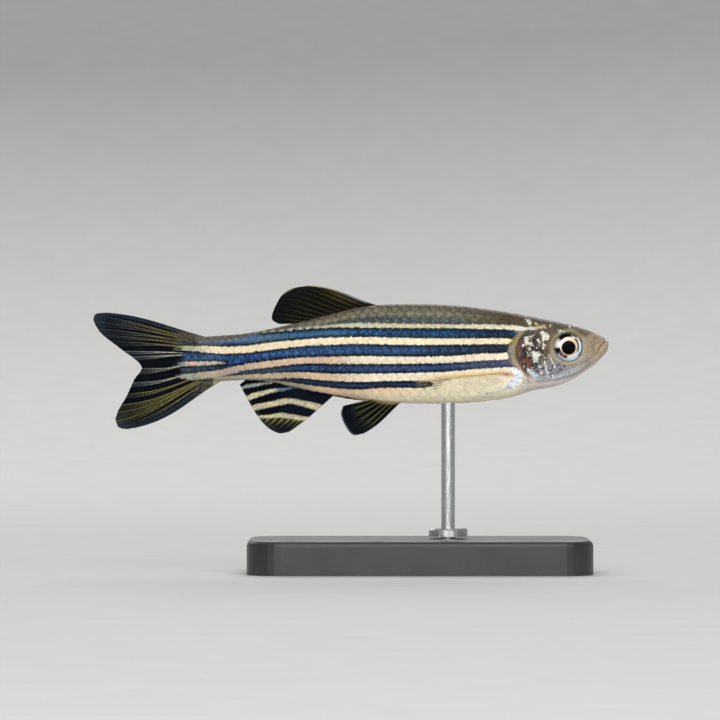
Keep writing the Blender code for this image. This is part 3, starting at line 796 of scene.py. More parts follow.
def calculate(tree, operation, first, second=0.0):
    """Number worked out from two."""
    node = tree.nodes.new("ShaderNodeMath")
    node.operation = operation
    put(tree, node.inputs[0], first)
    put(tree, node.inputs[1], second)
    return node.outputs[0]


def stepped(tree, value, low, high, to_low=0.0, to_high=1.0):
    """Smooth step of a number between two limits."""
    node = tree.nodes.new("ShaderNodeMapRange")
    node.interpolation_type = "SMOOTHSTEP"
    for name, given in (
        ("Value", value), ("From Min", low), ("From Max", high), ("To Min", to_low), ("To Max", to_high)
    ):
        put(tree, node.inputs[name], given)
    return node.outputs["Result"]


def mixed(tree, share, first, second, mode="MIX"):
    """Colour mixed from two."""
    node = tree.nodes.new("ShaderNodeMix")
    node.data_type = "RGBA"
    node.blend_type = mode
    put(tree, node.inputs[0], share)
    put(tree, node.inputs[6], first)
    put(tree, node.inputs[7], second)
    return node.outputs[2]


def millimetres(tree, stretch=(1.0, 1.0, 1.0)):
    """Place on the object, in millimetres."""
    coordinates = tree.nodes.new("ShaderNodeTexCoord")
    mapping = tree.nodes.new("ShaderNodeMapping")
    mapping.inputs["Scale"].default_value = [part / MM for part in stretch]
    tree.links.new(coordinates.outputs["Object"], mapping.inputs["Vector"])
    return mapping.outputs["Vector"]


def noise(tree, place, per_mm, detail=2.0):
    """Cloudy number around 0.5."""
    node = tree.nodes.new("ShaderNodeTexNoise")
    put(tree, node.inputs["Vector"], place)
    node.inputs["Scale"].default_value = per_mm
    node.inputs["Detail"].default_value = detail
    return node.outputs["Fac"]


def cells(tree, place, per_mm):
    """Distance to the middle of the nearest cell."""
    node = tree.nodes.new("ShaderNodeTexVoronoi")
    put(tree, node.inputs["Vector"], place)
    node.inputs["Scale"].default_value = per_mm
    return node.outputs["Distance"]


def new_material(name):
    """Material with its node tree and its shader."""
    material = bpy.data.materials.new(name)
    material.use_nodes = True
    tree = material.node_tree
    return material, tree, tree.nodes["Principled BSDF"]


def bump(tree, shader, height, depth_mm):
    """Fine relief of the surface."""
    node = tree.nodes.new("ShaderNodeBump")
    node.inputs["Strength"].default_value = 1.0
    node.inputs["Distance"].default_value = depth_mm * MM
    tree.links.new(height, node.inputs["Height"])
    tree.links.new(node.outputs["Normal"], shader.inputs["Normal"])


def toned(tree, colour, tone):
    """Colour made darker or lighter by a number."""
    grey = tree.nodes.new("ShaderNodeCombineColor")
    for channel in range(3):
        tree.links.new(tone, grey.inputs[channel])
    return mixed(tree, 1.0, colour, grey.outputs["Color"], "MULTIPLY")


def product(tree, first, *others):
    """Numbers multiplied together."""
    for other in others:
        first = calculate(tree, "MULTIPLY", first, other)
    return first


def marked_material(name, roughness, gloss, coat):
    """Finish that draws the markings: ragged lines, glinting flecks and dark pigment cells."""
    material, tree, shader = new_material(name)
    place = millimetres(tree)
    teeth = product(
        tree, calculate(tree, "SUBTRACT", noise(tree, place, 9.0, 3.0), 0.5), attribute(tree, "ragged")
    )
    line = stepped(tree, calculate(tree, "ADD", attribute(tree, "edge"), teeth), -0.045, 0.045)

    flecks = stepped(tree, cells(tree, millimetres(tree, (1.0, 1.0, 1.2)), 9.0), 0.68, 0.18)
    patches = stepped(tree, noise(tree, place, 1.7), 0.32, 0.62, 0.6, 1.0)
    glint = product(tree, flecks, patches, attribute(tree, "blue"))
    ground = mixed(tree, glint, attribute(tree, "dark", "Color"), attribute(tree, "glint", "Color"))
    colour = mixed(tree, line, ground, attribute(tree, "light", "Color"))

    pigment = stepped(tree, cells(tree, place, 5.6), 0.5, 0.26)
    clusters = stepped(tree, noise(tree, place, 2.2), 0.3, 0.55)
    colour = mixed(tree, product(tree, pigment, clusters, attribute(tree, "speck")), colour, PIGMENT)

    grain = stepped(tree, noise(tree, place, 9.0, 3.0), 0.3, 0.7, 0.84, 1.1)
    # The shade mark holds a random tint for each scale, with painted highlight and painted shade that
    # follow the scale's dome
    colour = toned(tree, colour, product(tree, grain, attribute(tree, "shade")))
    rim = product(tree, attribute(tree, "rim"), attribute(tree, "outline"))
    put(tree, shader.inputs["Base Color"], mixed(tree, rim, colour, SCALE_OUTLINE))

    put(tree, shader.inputs["Metallic"], attribute(tree, "shine"))
    rough = stepped(tree, noise(tree, place, 3.0), 0.3, 0.7, roughness - 0.06, roughness + 0.08)
    put(tree, shader.inputs["Roughness"], rough)
    put(tree, shader.inputs["Specular IOR Level"], gloss)
    put(tree, shader.inputs["Coat Weight"], coat)
    put(tree, shader.inputs["Coat Roughness"], 0.15)
    bump(tree, shader, noise(tree, place, 12.0, 3.0), 0.01)
    return material


# Skin

AROUND = 240
SNOUT_END = 0.5
SNOUT_RINGS = 15
HEAD_END = 9.2
HEAD_STEP = 0.05
TRUNK_RINGS = 190


def skin_places():
    """Distances behind the snout of the rings of the skin, closest on the head."""
    snout = SNOUT_END * (np.arange(1, SNOUT_RINGS + 1) / SNOUT_RINGS) ** 2
    head = np.arange(SNOUT_END + HEAD_STEP, HEAD_END, HEAD_STEP)
    return np.concatenate((snout, head, np.linspace(HEAD_END, BODY_END, TRUNK_RINGS)))


def in_socket(points):
    """Skin round the eye, which slopes down to the eyeball and goes on under it."""
    s, y, z = points[..., 0], points[..., 1], points[..., 2]
    away = np.hypot(s - EYE_PLACE[0], z - EYE_PLACE[1])
    rim = EYE_OFFSET + EYE_DEPTH * (1 - (EYE_SHOWN / EYE_RADIUS) ** EYE_FLATNESS) ** (1 / EYE_FLATNESS)
    floor = rim + EYE_TILT * (s - EYE_PLACE[0]) - 1.3 * np.maximum(EYE_SHOWN - away, 0)
    near = fall(away, EYE_SHOWN - 0.02, EYE_SHOWN + 0.3) * (np.abs(y) > 0.4)
    lip = 0.03 * hump(away - EYE_SHOWN - 0.26, 0.1)
    depth = np.abs(y) * (1 - near) + np.maximum(floor, 0.7) * near + lip * (away < 2)
    return np.stack((s, np.sign(y) * depth, z), -1)


def make_skin(material):
    """One skin over head, gill covers, trunk and tail."""
    places = skin_places()
    s, turn = np.meshgrid(places, np.arange(AROUND) / AROUND, indexing="ij")
    points = on_body(s, turn)
    z = points[..., 2]
    normal = body_normal(s, turn)
    sideways = np.abs(normal[..., 1])
    relief = side_relief(s, z) * ramp(sideways, 0.05, 0.5) * fall(s, 9.0, 9.6) + mouth_relief(s, z)
    inset = COAT_DEPTH * scaled(s, z) + 0.03 * sideways * (1 - scaled(s, z)) * ramp(s, 1, 4)
    points = in_socket(points + normal * (relief - inset)[..., None])
    points[..., 1] *= 1 - 0.88 * ramp(s, BODY_END - 2.2, BODY_END)
    middle = (back_at(s) + belly_at(s)) / 2
    reach = (back_at(s) - belly_at(s)) / 2
    points[..., 0] -= 1.1 * ((z - middle) / reach) ** 2 * ramp(s, BODY_END - 3, BODY_END)
    points = points.reshape(-1, 3)
    ends = ([0.0, 0.0, back_at(0.0)], points[-AROUND:].mean(0))
    points = np.concatenate((points, ends))
    looks = {
        mark: np.concatenate((values.reshape(-1, *values.shape[2:]), values[0, :1], values[-1, :1]))
        for mark, values in fish_looks(s, z).items()
    }
    looks["rim"] = np.zeros(len(points))
    looks["shade"] = np.ones(len(points))
    replaced = ("head", "lower_jaw", "gill_cover_right", "gill_cover_left", "trunk", "tail")
    skin = add_piece("skin", placed(points), tube_faces(len(places), AROUND), looks, material, replaced)


# Scales

SCALE_ROWS = 11
SCALE_COLUMNS = 9
SCALE_ROUND_OFF = 0.42
SCALE_LIFT = 0.012
SCALE_DOME = 0.014
# First row and the one after the last, counted from the side line, which is a share of the way down
SCALE_ROW_RANGE = (-12, 16)
SIDE_LINE = 0.47
ROWS_START = 5.5
# Half size of a scale's patch of the map, in scales, and the share of it that the lower side takes
MAP_PATCH = 0.42
MAP_LOWER_SIDE = 0.93


def arc_tables():
    """For distances behind the snout: half the girth, and the turn at shares of it from the back."""
    places = np.linspace(5.0, BODY_END, 200)
    turns = np.linspace(0.0, 0.5, 301)
    points = on_body(places[:, None], turns[None, :])
    steps = np.linalg.norm(np.diff(points[..., 1:], axis=1), axis=-1)
    arcs = np.concatenate((np.zeros((len(places), 1)), np.cumsum(steps, axis=1)), axis=1)
    shares = np.linspace(0, 1, 201)
    table = np.array([np.interp(shares * row[-1], row, turns) for row in arcs])
    return places, arcs[:, -1], shares, table


ARC_PLACES, HALF_GIRTHS, ARC_SHARES, TURN_TABLE = arc_tables()


def half_girth_at(s):
    """Length over the side of the body, from the middle of the back to that of the belly."""
    return np.interp(s, ARC_PLACES, HALF_GIRTHS)


def turn_at(s, arc):
    """Turn of the place that lies an arc below the middle of the back, on the left side."""
    share = arc / half_girth_at(s)
    folded = np.clip(np.where(share < 0, -share, np.where(share > 1, 2 - share, share)), 0, 1)
    row = np.clip((s - ARC_PLACES[0]) / (ARC_PLACES[1] - ARC_PLACES[0]), 0, len(ARC_PLACES) - 1.001)
    column = np.clip(folded * (len(ARC_SHARES) - 1), 0, len(ARC_SHARES) - 1.001)
    i, j = row.astype(int), column.astype(int)
    a, b = row - i, column - j
    turn = (
        (1 - a) * (1 - b) * TURN_TABLE[i, j] + (1 - a) * b * TURN_TABLE[i, j + 1]
        + a * (1 - b) * TURN_TABLE[i + 1, j] + a * b * TURN_TABLE[i + 1, j + 1]
    )
    return np.where(share < 0, -turn, np.where(share > 1, 1 - turn, turn))


def scale_grid():
    """Places of a scale's grid on a rounded plate: along it and across it, from -1 to 1."""
    a = np.sin(np.linspace(-1, 1, SCALE_ROWS) * math.pi / 2)[:, None]
    b = np.sin(np.linspace(-1, 1, SCALE_COLUMNS) * math.pi / 2)[None, :]
    along = a * np.sqrt(1 - SCALE_ROUND_OFF * b * b)
    across = b * np.sqrt(1 - SCALE_ROUND_OFF * a * a)
    return along, across


def row_places(start):
    """Distances behind the snout of the scales of a row, of which the first is start scales along it."""
    places = np.linspace(ROWS_START, BODY_END, 2000)
    count = np.concatenate(([0.0], np.cumsum(np.diff(places) / pitch_at(places[1:]))))
    return np.interp(np.arange(start, count[-1]), count, places)


def scale_spots():
    """Middle of each scale: distance behind the snout, arc below the back, and the row it is in."""
    spots = []
    for row in range(*SCALE_ROW_RANGE):
        s = row_places(0.5 * (row % 2))
        arc = SIDE_LINE * half_girth_at(s) + row * row_step_at(s)
        spots.append(np.stack((s, arc, np.full(len(s), float(row))), -1))
    spots = np.concatenate(spots)
    s, arc = spots[:, 0], spots[:, 1]
    z = on_body(s, turn_at(s, arc))[:, 2]
    inside = (arc > 0.3 * row_step_at(s)) & (arc < half_girth_at(s) - 0.3 * row_step_at(s))
    behind = s > scale_front_at(z) + 0.45 * pitch_at(s)
    ahead = s < BODY_END - 0.9 - 0.35 * ((z + 0.6) / 1.7) ** 2
    return spots[inside & behind & ahead]


def midline_spots(arc_share, start, stops):
    """Scales along the middle of the back or belly, left out where a fin stands."""
    s = row_places(0.25)
    keep = (s > start) & (s < BODY_END - 2.2)
    for low, high in stops:
        keep &= (s < low) | (s > high)
    s = s[keep]
    return np.stack((s, arc_share * half_girth_at(s), np.zeros(len(s))), -1)


def scale_meshes(spots, seed, lower=0.0):
    """Points, marks and map places of many scales on the left side, each a closed plate."""
    chance = np.random.default_rng(seed)

    def varied(spread):
        return spread * chance.standard_normal((len(spots), 1, 1))

    along, across = scale_grid()
    s0, arc0 = (spots[:, axis][:, None, None] for axis in (0, 1))
    length = SCALE_LENGTH * pitch_at(s0) * (1 + varied(0.03))
    width = SCALE_WIDTH * row_step_at(s0) * (1 + varied(0.03))
    lean = varied(0.03)
    xi = along * length / 2
    eta = across * width / 2
    s = s0 + xi - lean * eta
    turn = turn_at(s, arc0 + eta + lean * xi)
    surface = on_body(s, turn)
    normal = body_normal(s, turn)
    reach = np.sqrt(along ** 2 + across ** 2)
    rise = SCALE_SLOPE * (xi + length / 2) - COAT_DEPTH + SCALE_LIFT - lower
    dome = SCALE_DOME * (1 - across ** 2) - 0.01 * ramp(along, 0.7, 1.0)
    height = rise + dome + varied(0.004)
    half = SCALE_THICKNESS / 2 * (1 - 0.7 * ramp(reach, 0.75, 1.0))
    sheets = [surface + normal * level[..., None] for level in (height + half, height - half)]
    looks = fish_looks(s, surface[..., 2])
    rim = ramp(reach, 0.62, 1.0) * ramp(along, -0.3, 0.5)
    looks["edge"] = looks["edge"] - 0.025 * rim * (looks["edge"] < 0.25)
    looks["blue"] = looks["blue"] * (1 - 0.75 * rim)
    looks["rim"] = np.broadcast_to(rim, s.shape)
    # Shade of each scale: a random tint, darker towards its rim, with a painted highlight where it domes
    # up and painted shade where it dips at its rear end
    looks["shade"] = 1 + varied(0.03) - 0.06 * rim + 0.03 * dome / SCALE_DOME
    looks = {
        mark: np.stack((values, values), 1).reshape(-1, *values.shape[3:])
        for mark, values in looks.items()
    }
    return np.stack(sheets, 1).reshape(-1, 3), looks, scale_map(spots, along, across)


def scale_map(spots, along, across):
    """Own patch of the unwrapped skin for each scale, at its place along and round the body."""
    places = []
    for at, size_at, margin, grid in (
        (spots[:, 0], pitch_at, 0.6, along), (spots[:, 1], row_step_at, 0.5, across)
    ):
        low, high = at.min() - margin, at.max() + margin
        middle = ((at - low) / (high - low))[:, None, None]
        patch = (MAP_PATCH * size_at(spots[:, 0]) / (high - low))[:, None, None]
        places.append([middle + shrink * patch * grid for shrink in (1.0, MAP_LOWER_SIDE)])
    sheets = [np.stack(np.broadcast_arrays(u, v), -1) for u, v in zip(*places)]
    return np.stack(sheets, 1).reshape(-1, 2)


def make_scale_piece(name, spots, side, seed, material, lower=0.0):
    """Joined piece of scales."""
    points, looks, places = scale_meshes(spots, seed, lower)
    per_scale = 2 * SCALE_ROWS * SCALE_COLUMNS
    one = plate_faces(SCALE_ROWS, SCALE_COLUMNS)
    faces = [[corner + i * per_scale for corner in face] for i in range(len(spots)) for face in one]
    piece = add_piece(name, placed(points * (1.0, side, 1.0)), faces, looks, material)
    bake_map(piece, places)


def make_scales(material):
    """Scales of both sides in an upper and a lower piece each, and those of the middle lines."""
    spots = scale_spots()
    upper = spots[:, 2] < 0
    seed = 11
    for word, side in SIDES:
        for part, chosen in (("upper", upper), ("lower", ~upper)):
            make_scale_piece(f"scales_{word}_{part}", spots[chosen], side, seed, material)
            seed += 1
    back = midline_spots(0.0, 6.7, ((19.6, 27.4),))
    belly = midline_spots(1.0, 10.6, ((17.6, 21.2), (23.4, 31.8)))
    make_scale_piece("scales_back", back, 1, 21, material, lower=0.01)
    make_scale_piece("scales_belly", belly, 1, 22, material, lower=0.01)


# Eyes

EYE_RINGS = 97
EYE_AROUND = 128
# Sectors of the iris: (start, end, inner radius, outer radius, softness, strength, colour), with
# the angles in degrees up from the front
# The near-white and blue-white sectors are the silvery iris with painted highlights of the wet eye in it
IRIS = (
    (80, 184, 0.6, 1.1, 12, 0.9, (252, 240, 226)),
    (-20, 90, 0.6, 0.86, 16, 0.8, (238, 216, 190)),
    (212, 245, 0.6, 1.1, 12, 0.8, (176, 152, 166)),
    (72, 146, 0.84, 1.25, 12, 1, (16, 11, 8)),
    (48, 76, 0.98, 1.2, 8, 0.9, (30, 24, 14)),
    (184, 214, 0.8, 1.28, 7, 1, (10, 9, 13)),
    (208, 236, 0.72, 1.06, 10, 0.9, (74, 50, 68)),
    (238, 264, 0.7, 1.04, 9, 1, (44, 30, 30)),
    (-56, 52, 0.76, 0.92, 8, 1, (34, 23, 18)),
    (264, 330, 0.78, 1.2, 12, 1, (240, 240, 240)),
    (276, 352, 1.0, 1.24, 12, 1, (206, 230, 244)),
    (-24, 30, 0.9, 1.1, 12, 1, (240, 246, 246)),
    (-46, 40, 1.1, 1.23, 8, 1, (18, 24, 34)),
    (-30, 20, 1.22, 1.32, 8, 1, (170, 206, 220)),
    (24, 100, 1.16, 1.36, 12, 0.9, (118, 116, 50)),
    (60, 150, 1.2, 1.3, 30, 0.7, (44, 46, 24)),
    (104, 200, 1.26, 1.36, 12, 1, (74, 100, 92)),
    (200, 330, 1.22, 1.33, 12, 0.9, (104, 156, 164)),
)


def iris_sector(r, degrees, start, end, inner, outer, soft):
    """Soft share of a sector of the iris."""
    half = (end - start) / 2
    off = np.abs((degrees - (start + end) / 2 + 180) % 360 - 180)
    ring = between(r, inner - 0.05, inner + 0.05, outer - 0.06, outer + 0.06)
    return fall(off, half - soft, half + soft) * ring


def eye_looks(s, z):
    """Marks of the eyeball at places of the side view, painted highlights in the iris among them."""
    r = np.hypot(s - EYE_PLACE[0], z - EYE_PLACE[1])
    degrees = np.degrees(np.arctan2(z - EYE_PLACE[1], EYE_PLACE[0] - s)) % 360
    pupil = np.hypot(s - PUPIL_PLACE[0], z - PUPIL_PLACE[1]) - PUPIL_RADIUS
    colour = painted(
        (226, 210, 206),
        *((iris_sector(r, degrees, *sector) * strength, patch) for *sector, strength, patch in IRIS),
        (ramp(r, 1.3, 1.36), (140, 128, 98)), (fall(pupil, 0.07, 0.12), (212, 188, 150)),
        (fall(pupil, -0.01, 0.03), (6, 6, 12)),
    )
    return {"colour": colour, "shine": 0.3 * ramp(colour.mean(-1), 0.15, 0.5)}


def eye_material():
    """Wet eye: fine grain in the iris under a clear cornea."""
    material, tree, shader = new_material("eye")
    place = millimetres(tree)
    grain = stepped(tree, noise(tree, place, 11.0, 3.0), 0.3, 0.7, 0.86, 1.08)
    put(tree, shader.inputs["Base Color"], toned(tree, attribute(tree, "colour", "Color"), grain))
    put(tree, shader.inputs["Metallic"], attribute(tree, "shine"))
    put(tree, shader.inputs["Roughness"], stepped(tree, noise(tree, place, 5.0), 0.3, 0.7, 0.28, 0.42))
    put(tree, shader.inputs["Specular IOR Level"], 0.02)
    put(tree, shader.inputs["Coat Weight"], 0.03)
    put(tree, shader.inputs["Coat Roughness"], 0.03)
    return material


def make_eyes(material):
    """Eyeballs, flat behind, tilted forwards with the side of the head."""
    angle = np.arange(EYE_AROUND) * 2 * math.pi / EYE_AROUND
    reach = np.sin(np.linspace(0, 1, EYE_RINGS)[1:] * math.pi / 2)
    r = EYE_RADIUS * reach[:, None] * np.ones(EYE_AROUND)
    s = EYE_PLACE[0] + r * np.cos(angle)
    z = EYE_PLACE[1] + r * np.sin(angle)
    bulge = (1 - np.minimum(r / EYE_RADIUS, 1) ** EYE_FLATNESS) ** (1 / EYE_FLATNESS)
    front = np.stack((s, EYE_OFFSET + EYE_DEPTH * bulge + EYE_TILT * (s - EYE_PLACE[0]), z), -1)
    rear = front[-1].copy()
    rear[:, 1] = EYE_BACK
    ends = [[EYE_PLACE[0], y, EYE_PLACE[1]] for y in (EYE_OFFSET + EYE_DEPTH, EYE_BACK)]
    points = np.concatenate((front.reshape(-1, 3), rear, ends))
    faces = tube_faces(EYE_RINGS, EYE_AROUND)
    looks = eye_looks(points[:, 0], points[:, 2])
    for word, side in SIDES:
        mirrored = placed(points * (1.0, side, 1.0))
        piece = add_piece(f"eyeball_{word}", mirrored, faces, looks, material, (f"eye_{word}",))


# Fins

DORSAL_ROOTS = ((20.1, 4.0), (26.9, 2.5))
DORSAL_TIPS = (
    (0.0, 26.3, 5.77), (0.2, 27.6, 5.55), (0.42, 28.5, 4.95), (0.65, 29.1, 3.95), (0.82, 29.4, 3.1),
    (0.92, 29.28, 2.7), (1.0, 28.75, 2.42),
)
ANAL_ROOTS = ((23.8, -3.65), (31.4, -2.24))
ANAL_TIPS = (
    (0.0, 27.9, -7.02), (0.14, 28.8, -7.12), (0.35, 29.9, -6.5), (0.6, 30.85, -5.3),
    (0.82, 31.6, -4.0), (1.0, 32.2, -2.85),
)
TAIL_ROOTS = ((34.9, 1.2), (33.6, -2.4))
TAIL_ROOT_BULGE = 1.9
TAIL_TIPS = (
    (0.0, 43.9, 3.42), (0.03, 44.7, 3.33), (0.07, 44.98, 2.95), (0.12, 44.85, 2.4), (0.2, 44.25, 1.55),
    (0.35, 42.7, 0.33), (0.49, 40.8, -1.25), (0.6, 41.4, -2.4), (0.78, 42.15, -4.0), (0.87, 42.8, -5.1),
    (0.92, 43.05, -5.95), (0.96, 42.75, -6.6), (0.985, 42.1, -6.76), (1.0, 41.2, -6.62),
)
PELVIC_ROOTS = ((17.9, -4.15), (20.1, -4.0))
PELVIC_TIPS = (
    (0.0, 21.5, -7.16), (0.25, 22.3, -7.25), (0.5, 22.9, -6.6), (0.78, 23.35, -5.5), (1.0, 23.2, -4.75),
)
PELVIC_SIDE = 0.62
PELVIC_SPREAD = 0.85
PECTORAL_ROOTS = ((8.75, -1.75), (8.9, -2.5))
PECTORAL_TIPS = (
    (0.0, 16.4, -2.45), (0.2, 16.95, -2.85), (0.45, 16.4, -3.3), (0.75, 14.6, -3.6), (1.0, 12.4, -3.55),
)

# Light bands across the anal fin: (s, upper edge, lower edge)
ANAL_BANDS = (
    (
        (29.3, -2.62, -2.7), (30.1, -2.69, -2.85), (30.8, -2.77, -3.02), (31.6, -2.88, -3.14),
        (32.2, -3.1, -3.3),
    ),
    (
        (27.3, -3.05, -3.15), (28.4, -3.18, -3.38), (29.3, -3.23, -3.53), (30.1, -3.4, -3.78),
        (31.0, -3.61, -4.07), (31.8, -3.93, -4.35),
    ),
    (
        (24.8, -4.74, -5.16), (25.4, -4.57, -5.14), (26.2, -4.37, -4.9), (27.0, -4.22, -4.68),
        (27.8, -4.1, -4.5), (28.5, -4.12, -4.62), (29.2, -4.3, -4.75), (30.6, -4.56, -5.04),
        (31.3, -4.76, -5.2),
    ),
    (
        (26.1, -5.76, -5.96), (26.9, -5.62, -6.0), (27.8, -5.46, -5.86), (28.6, -5.34, -5.74),
        (29.5, -5.5, -5.8), (30.1, -5.54, -5.8), (30.8, -5.64, -5.74),
    ),
)

DORSAL_RAY_COUNT = 11
ANAL_RAY_COUNT = 16
PELVIC_RAY_COUNT = 7
RAY_SIDES = 6
RAY_SEGMENT = 0.28
RAY_FLATNESS = 0.85
GREY, TAN, PALE, GOLD, DARK = range(5)
# Colour of a ray of the tail fin near its root and far from it
RAY_COLOURS = {
    GREY: ((58, 66, 70), (42, 52, 64)),
    TAN: ((124, 116, 76), (66, 74, 78)),
    PALE: ((184, 186, 160), (112, 120, 118)),
    GOLD: ((132, 124, 70), (122, 120, 74)),
    DARK: ((8, 14, 26), (14, 22, 34)),
}
# Marks of a plain dark fin
PLAIN_MARKS = {
    "light": (150, 148, 110), "dark": (8, 12, 20), "glint": (22, 40, 62), "edge": -1.0, "blue": 0.15,
    "speck": 0.2, "outline": 0.0, "shine": 0.03, "ragged": 0.06, "rim": 0.0, "shade": 1.0,
}
# Rays of the tail fin: (share at its root, share at its edge, spread, strands, colour)
TAIL_RAYS = (
    (0.004, 0.004, 0.0, 1, GREY), (0.03, 0.03, 0.01, 2, GREY), (0.075, 0.07, 0.018, 4, TAN),
    (0.1, 0.12, 0.02, 4, TAN), (0.15, 0.18, 0.022, 4, TAN), (0.19, 0.235, 0.02, 4, TAN),
    (0.25, 0.305, 0.026, 4, TAN), (0.34, 0.35, 0.01, 2, DARK), (0.37, 0.388, 0.014, 2, PALE),
    (0.41, 0.43, 0.014, 2, PALE), (0.48, 0.48, 0.014, 2, DARK), (0.58, 0.535, 0.024, 4, PALE),
    (0.65, 0.6, 0.014, 2, DARK), (0.74, 0.66, 0.022, 4, PALE), (0.79, 0.715, 0.012, 2, DARK),
    (0.83, 0.77, 0.02, 4, GOLD), (0.86, 0.815, 0.01, 2, DARK), (0.885, 0.855, 0.016, 4, GOLD),
    (0.895, 0.9, 0.016, 4, GOLD), (0.91, 0.935, 0.012, 2, GOLD), (0.945, 0.965, 0.01, 2, TAN),
    (0.97, 0.983, 0.004, 1, GREY), (0.996, 0.996, 0.0, 1, GREY),
)


def ray_places(roots, tips, bulge=0.0, bow=lambda u: 0.0 * u):
    """Function of (u, v) that runs from root line to tip line as (s, z), bowed near the tip."""
    tip_s = through(tips)
    tip_z = through([tip[::2] for tip in tips])
    first, last = np.array(roots[0]), np.array(roots[1])

    def place_at(u, v):
        u, v = np.broadcast_arrays(np.asarray(u, float), np.asarray(v, float))
        root = first + (last - first) * u[..., None]
        root[..., 0] += bulge * (1 - (2 * u - 1) ** 2)
        along = np.stack((tip_s(u), tip_z(u)), -1) - root
        across = np.stack((-along[..., 1], along[..., 0]), -1)
        across /= np.linalg.norm(across, axis=-1, keepdims=True)
        return root + along * v[..., None] + across * (bow(u) * v * np.sin(math.pi * v))[..., None]

    return place_at


def even_rays(count, strands, spread=0.3):
    """Rays at even shares of a fin, the first and last of them in one strand."""
    rays = []
    for i in range(count):
        u = 0.006 + 0.988 * i / (count - 1)
        outer = i in (0, count - 1)
        rays.append((u, u, 0.0 if outer else spread / (count - 1), 1 if outer else strands, PALE))
    return rays


def ray_share(ray, v):
    """Share of the fin along the middle of a ray."""
    return ray[0] + (ray[1] - ray[0]) * ramp(v, 0.0, 1.0)


def strand_line(ray, strand, steps=90):
    """Shares (u, v) along one strand of a ray, which leaves the others where it branches."""
    count = ray[3]
    side = 0 if count == 1 else (-1 if strand < count / 2 else 1)
    branch = 0 if count < 4 else (-1 if strand % 2 == 0 else 1)
    start = 0.0 if strand == 0 else (0.5 if strand % 2 and count == 4 else 0.18)
    v = np.linspace(start, 0.992, int(steps * (1 - 0.8 * start)))
    shift = 0.62 * side * ramp(v, 0.18, 0.8) + 0.38 * branch * ramp(v, 0.5, 1.0)
    return np.clip(ray_share(ray, v) + ray[2] * shift, 0.002, 0.998), v


def tube_points(line, across, up, wide, high, sides):
    """Points of the rings of a tube round a line, followed by the line's two ends."""
    turns = np.arange(sides) * 2 * math.pi / sides
    rings = (
        line[:, None] + across[:, None] * (wide[:, None] * np.cos(turns))[..., None]
        + up[:, None] * (high[:, None] * np.sin(turns))[..., None]
    )
    return np.concatenate((rings.reshape(-1, 3), line[[0, -1]]))


def fin_mesh(middle, columns, rows, rays, ray_half, membrane_half):
    """Points, faces and shares (u, v, ray or -1) of a fin: a thin membrane with jointed rays."""
    u = np.linspace(0, 1, columns)[:, None]
    v = np.linspace(0, 1, rows)[None, :]
    notch = 1 - 0.004 * np.abs(np.sin(math.pi * u * 23))
    u, v = np.broadcast_arrays(u, v * notch)
    sheet = middle(u, v)
    half = np.zeros(sheet.shape)
    half[..., 1] = membrane_half * (1 - 0.45 * v)
    points = [(sheet + half).reshape(-1, 3), (sheet - half).reshape(-1, 3)]
    shares = [np.stack((u, v, 0 * u - 1), -1).reshape(-1, 3)] * 2
    faces = plate_faces(columns, rows)
    first = 2 * columns * rows
    for number, ray in enumerate(rays):
        for strand in range(ray[3]):
            u, v = strand_line(ray, strand)
            line = middle(u, v)
            along = np.gradient(line, axis=0)
            length = np.concatenate(([0.0], np.cumsum(np.linalg.norm(np.diff(line, axis=0), axis=1))))
            across = np.stack((-along[:, 2], 0 * along[:, 0], along[:, 0]), -1)
            across /= np.linalg.norm(across, axis=1, keepdims=True) + 1e-9
            joints = 1 - 0.2 * hump((length / RAY_SEGMENT + 0.5) % 1 - 0.5, 0.14)
            radius = ray_half * (1 - 0.6 * v) * joints * (0.75 if strand else 1.0)
            up = np.array([(0.0, 1.0, 0.0)])
            points.append(tube_points(line, across, up, radius, radius * RAY_FLATNESS, RAY_SIDES))
            marks = np.stack((u, v, np.full(len(u), float(number))), -1)
            shares += [np.repeat(marks, RAY_SIDES, axis=0), marks[[0, -1]]]
            faces += tube_faces(len(line), RAY_SIDES, first)
            first += len(points[-1])
    return np.concatenate(points), faces, np.concatenate(shares)


def plain_looks(count, **changes):
    """Marks of a plain dark fin, with the changes that are given."""
    looks = {}
    for mark, value in {**PLAIN_MARKS, **changes}.items():
        value = np.asarray(linear(value), float)
        looks[mark] = np.broadcast_to(value, (count, 3) if value.shape[-1:] == (3,) else count)
    return looks


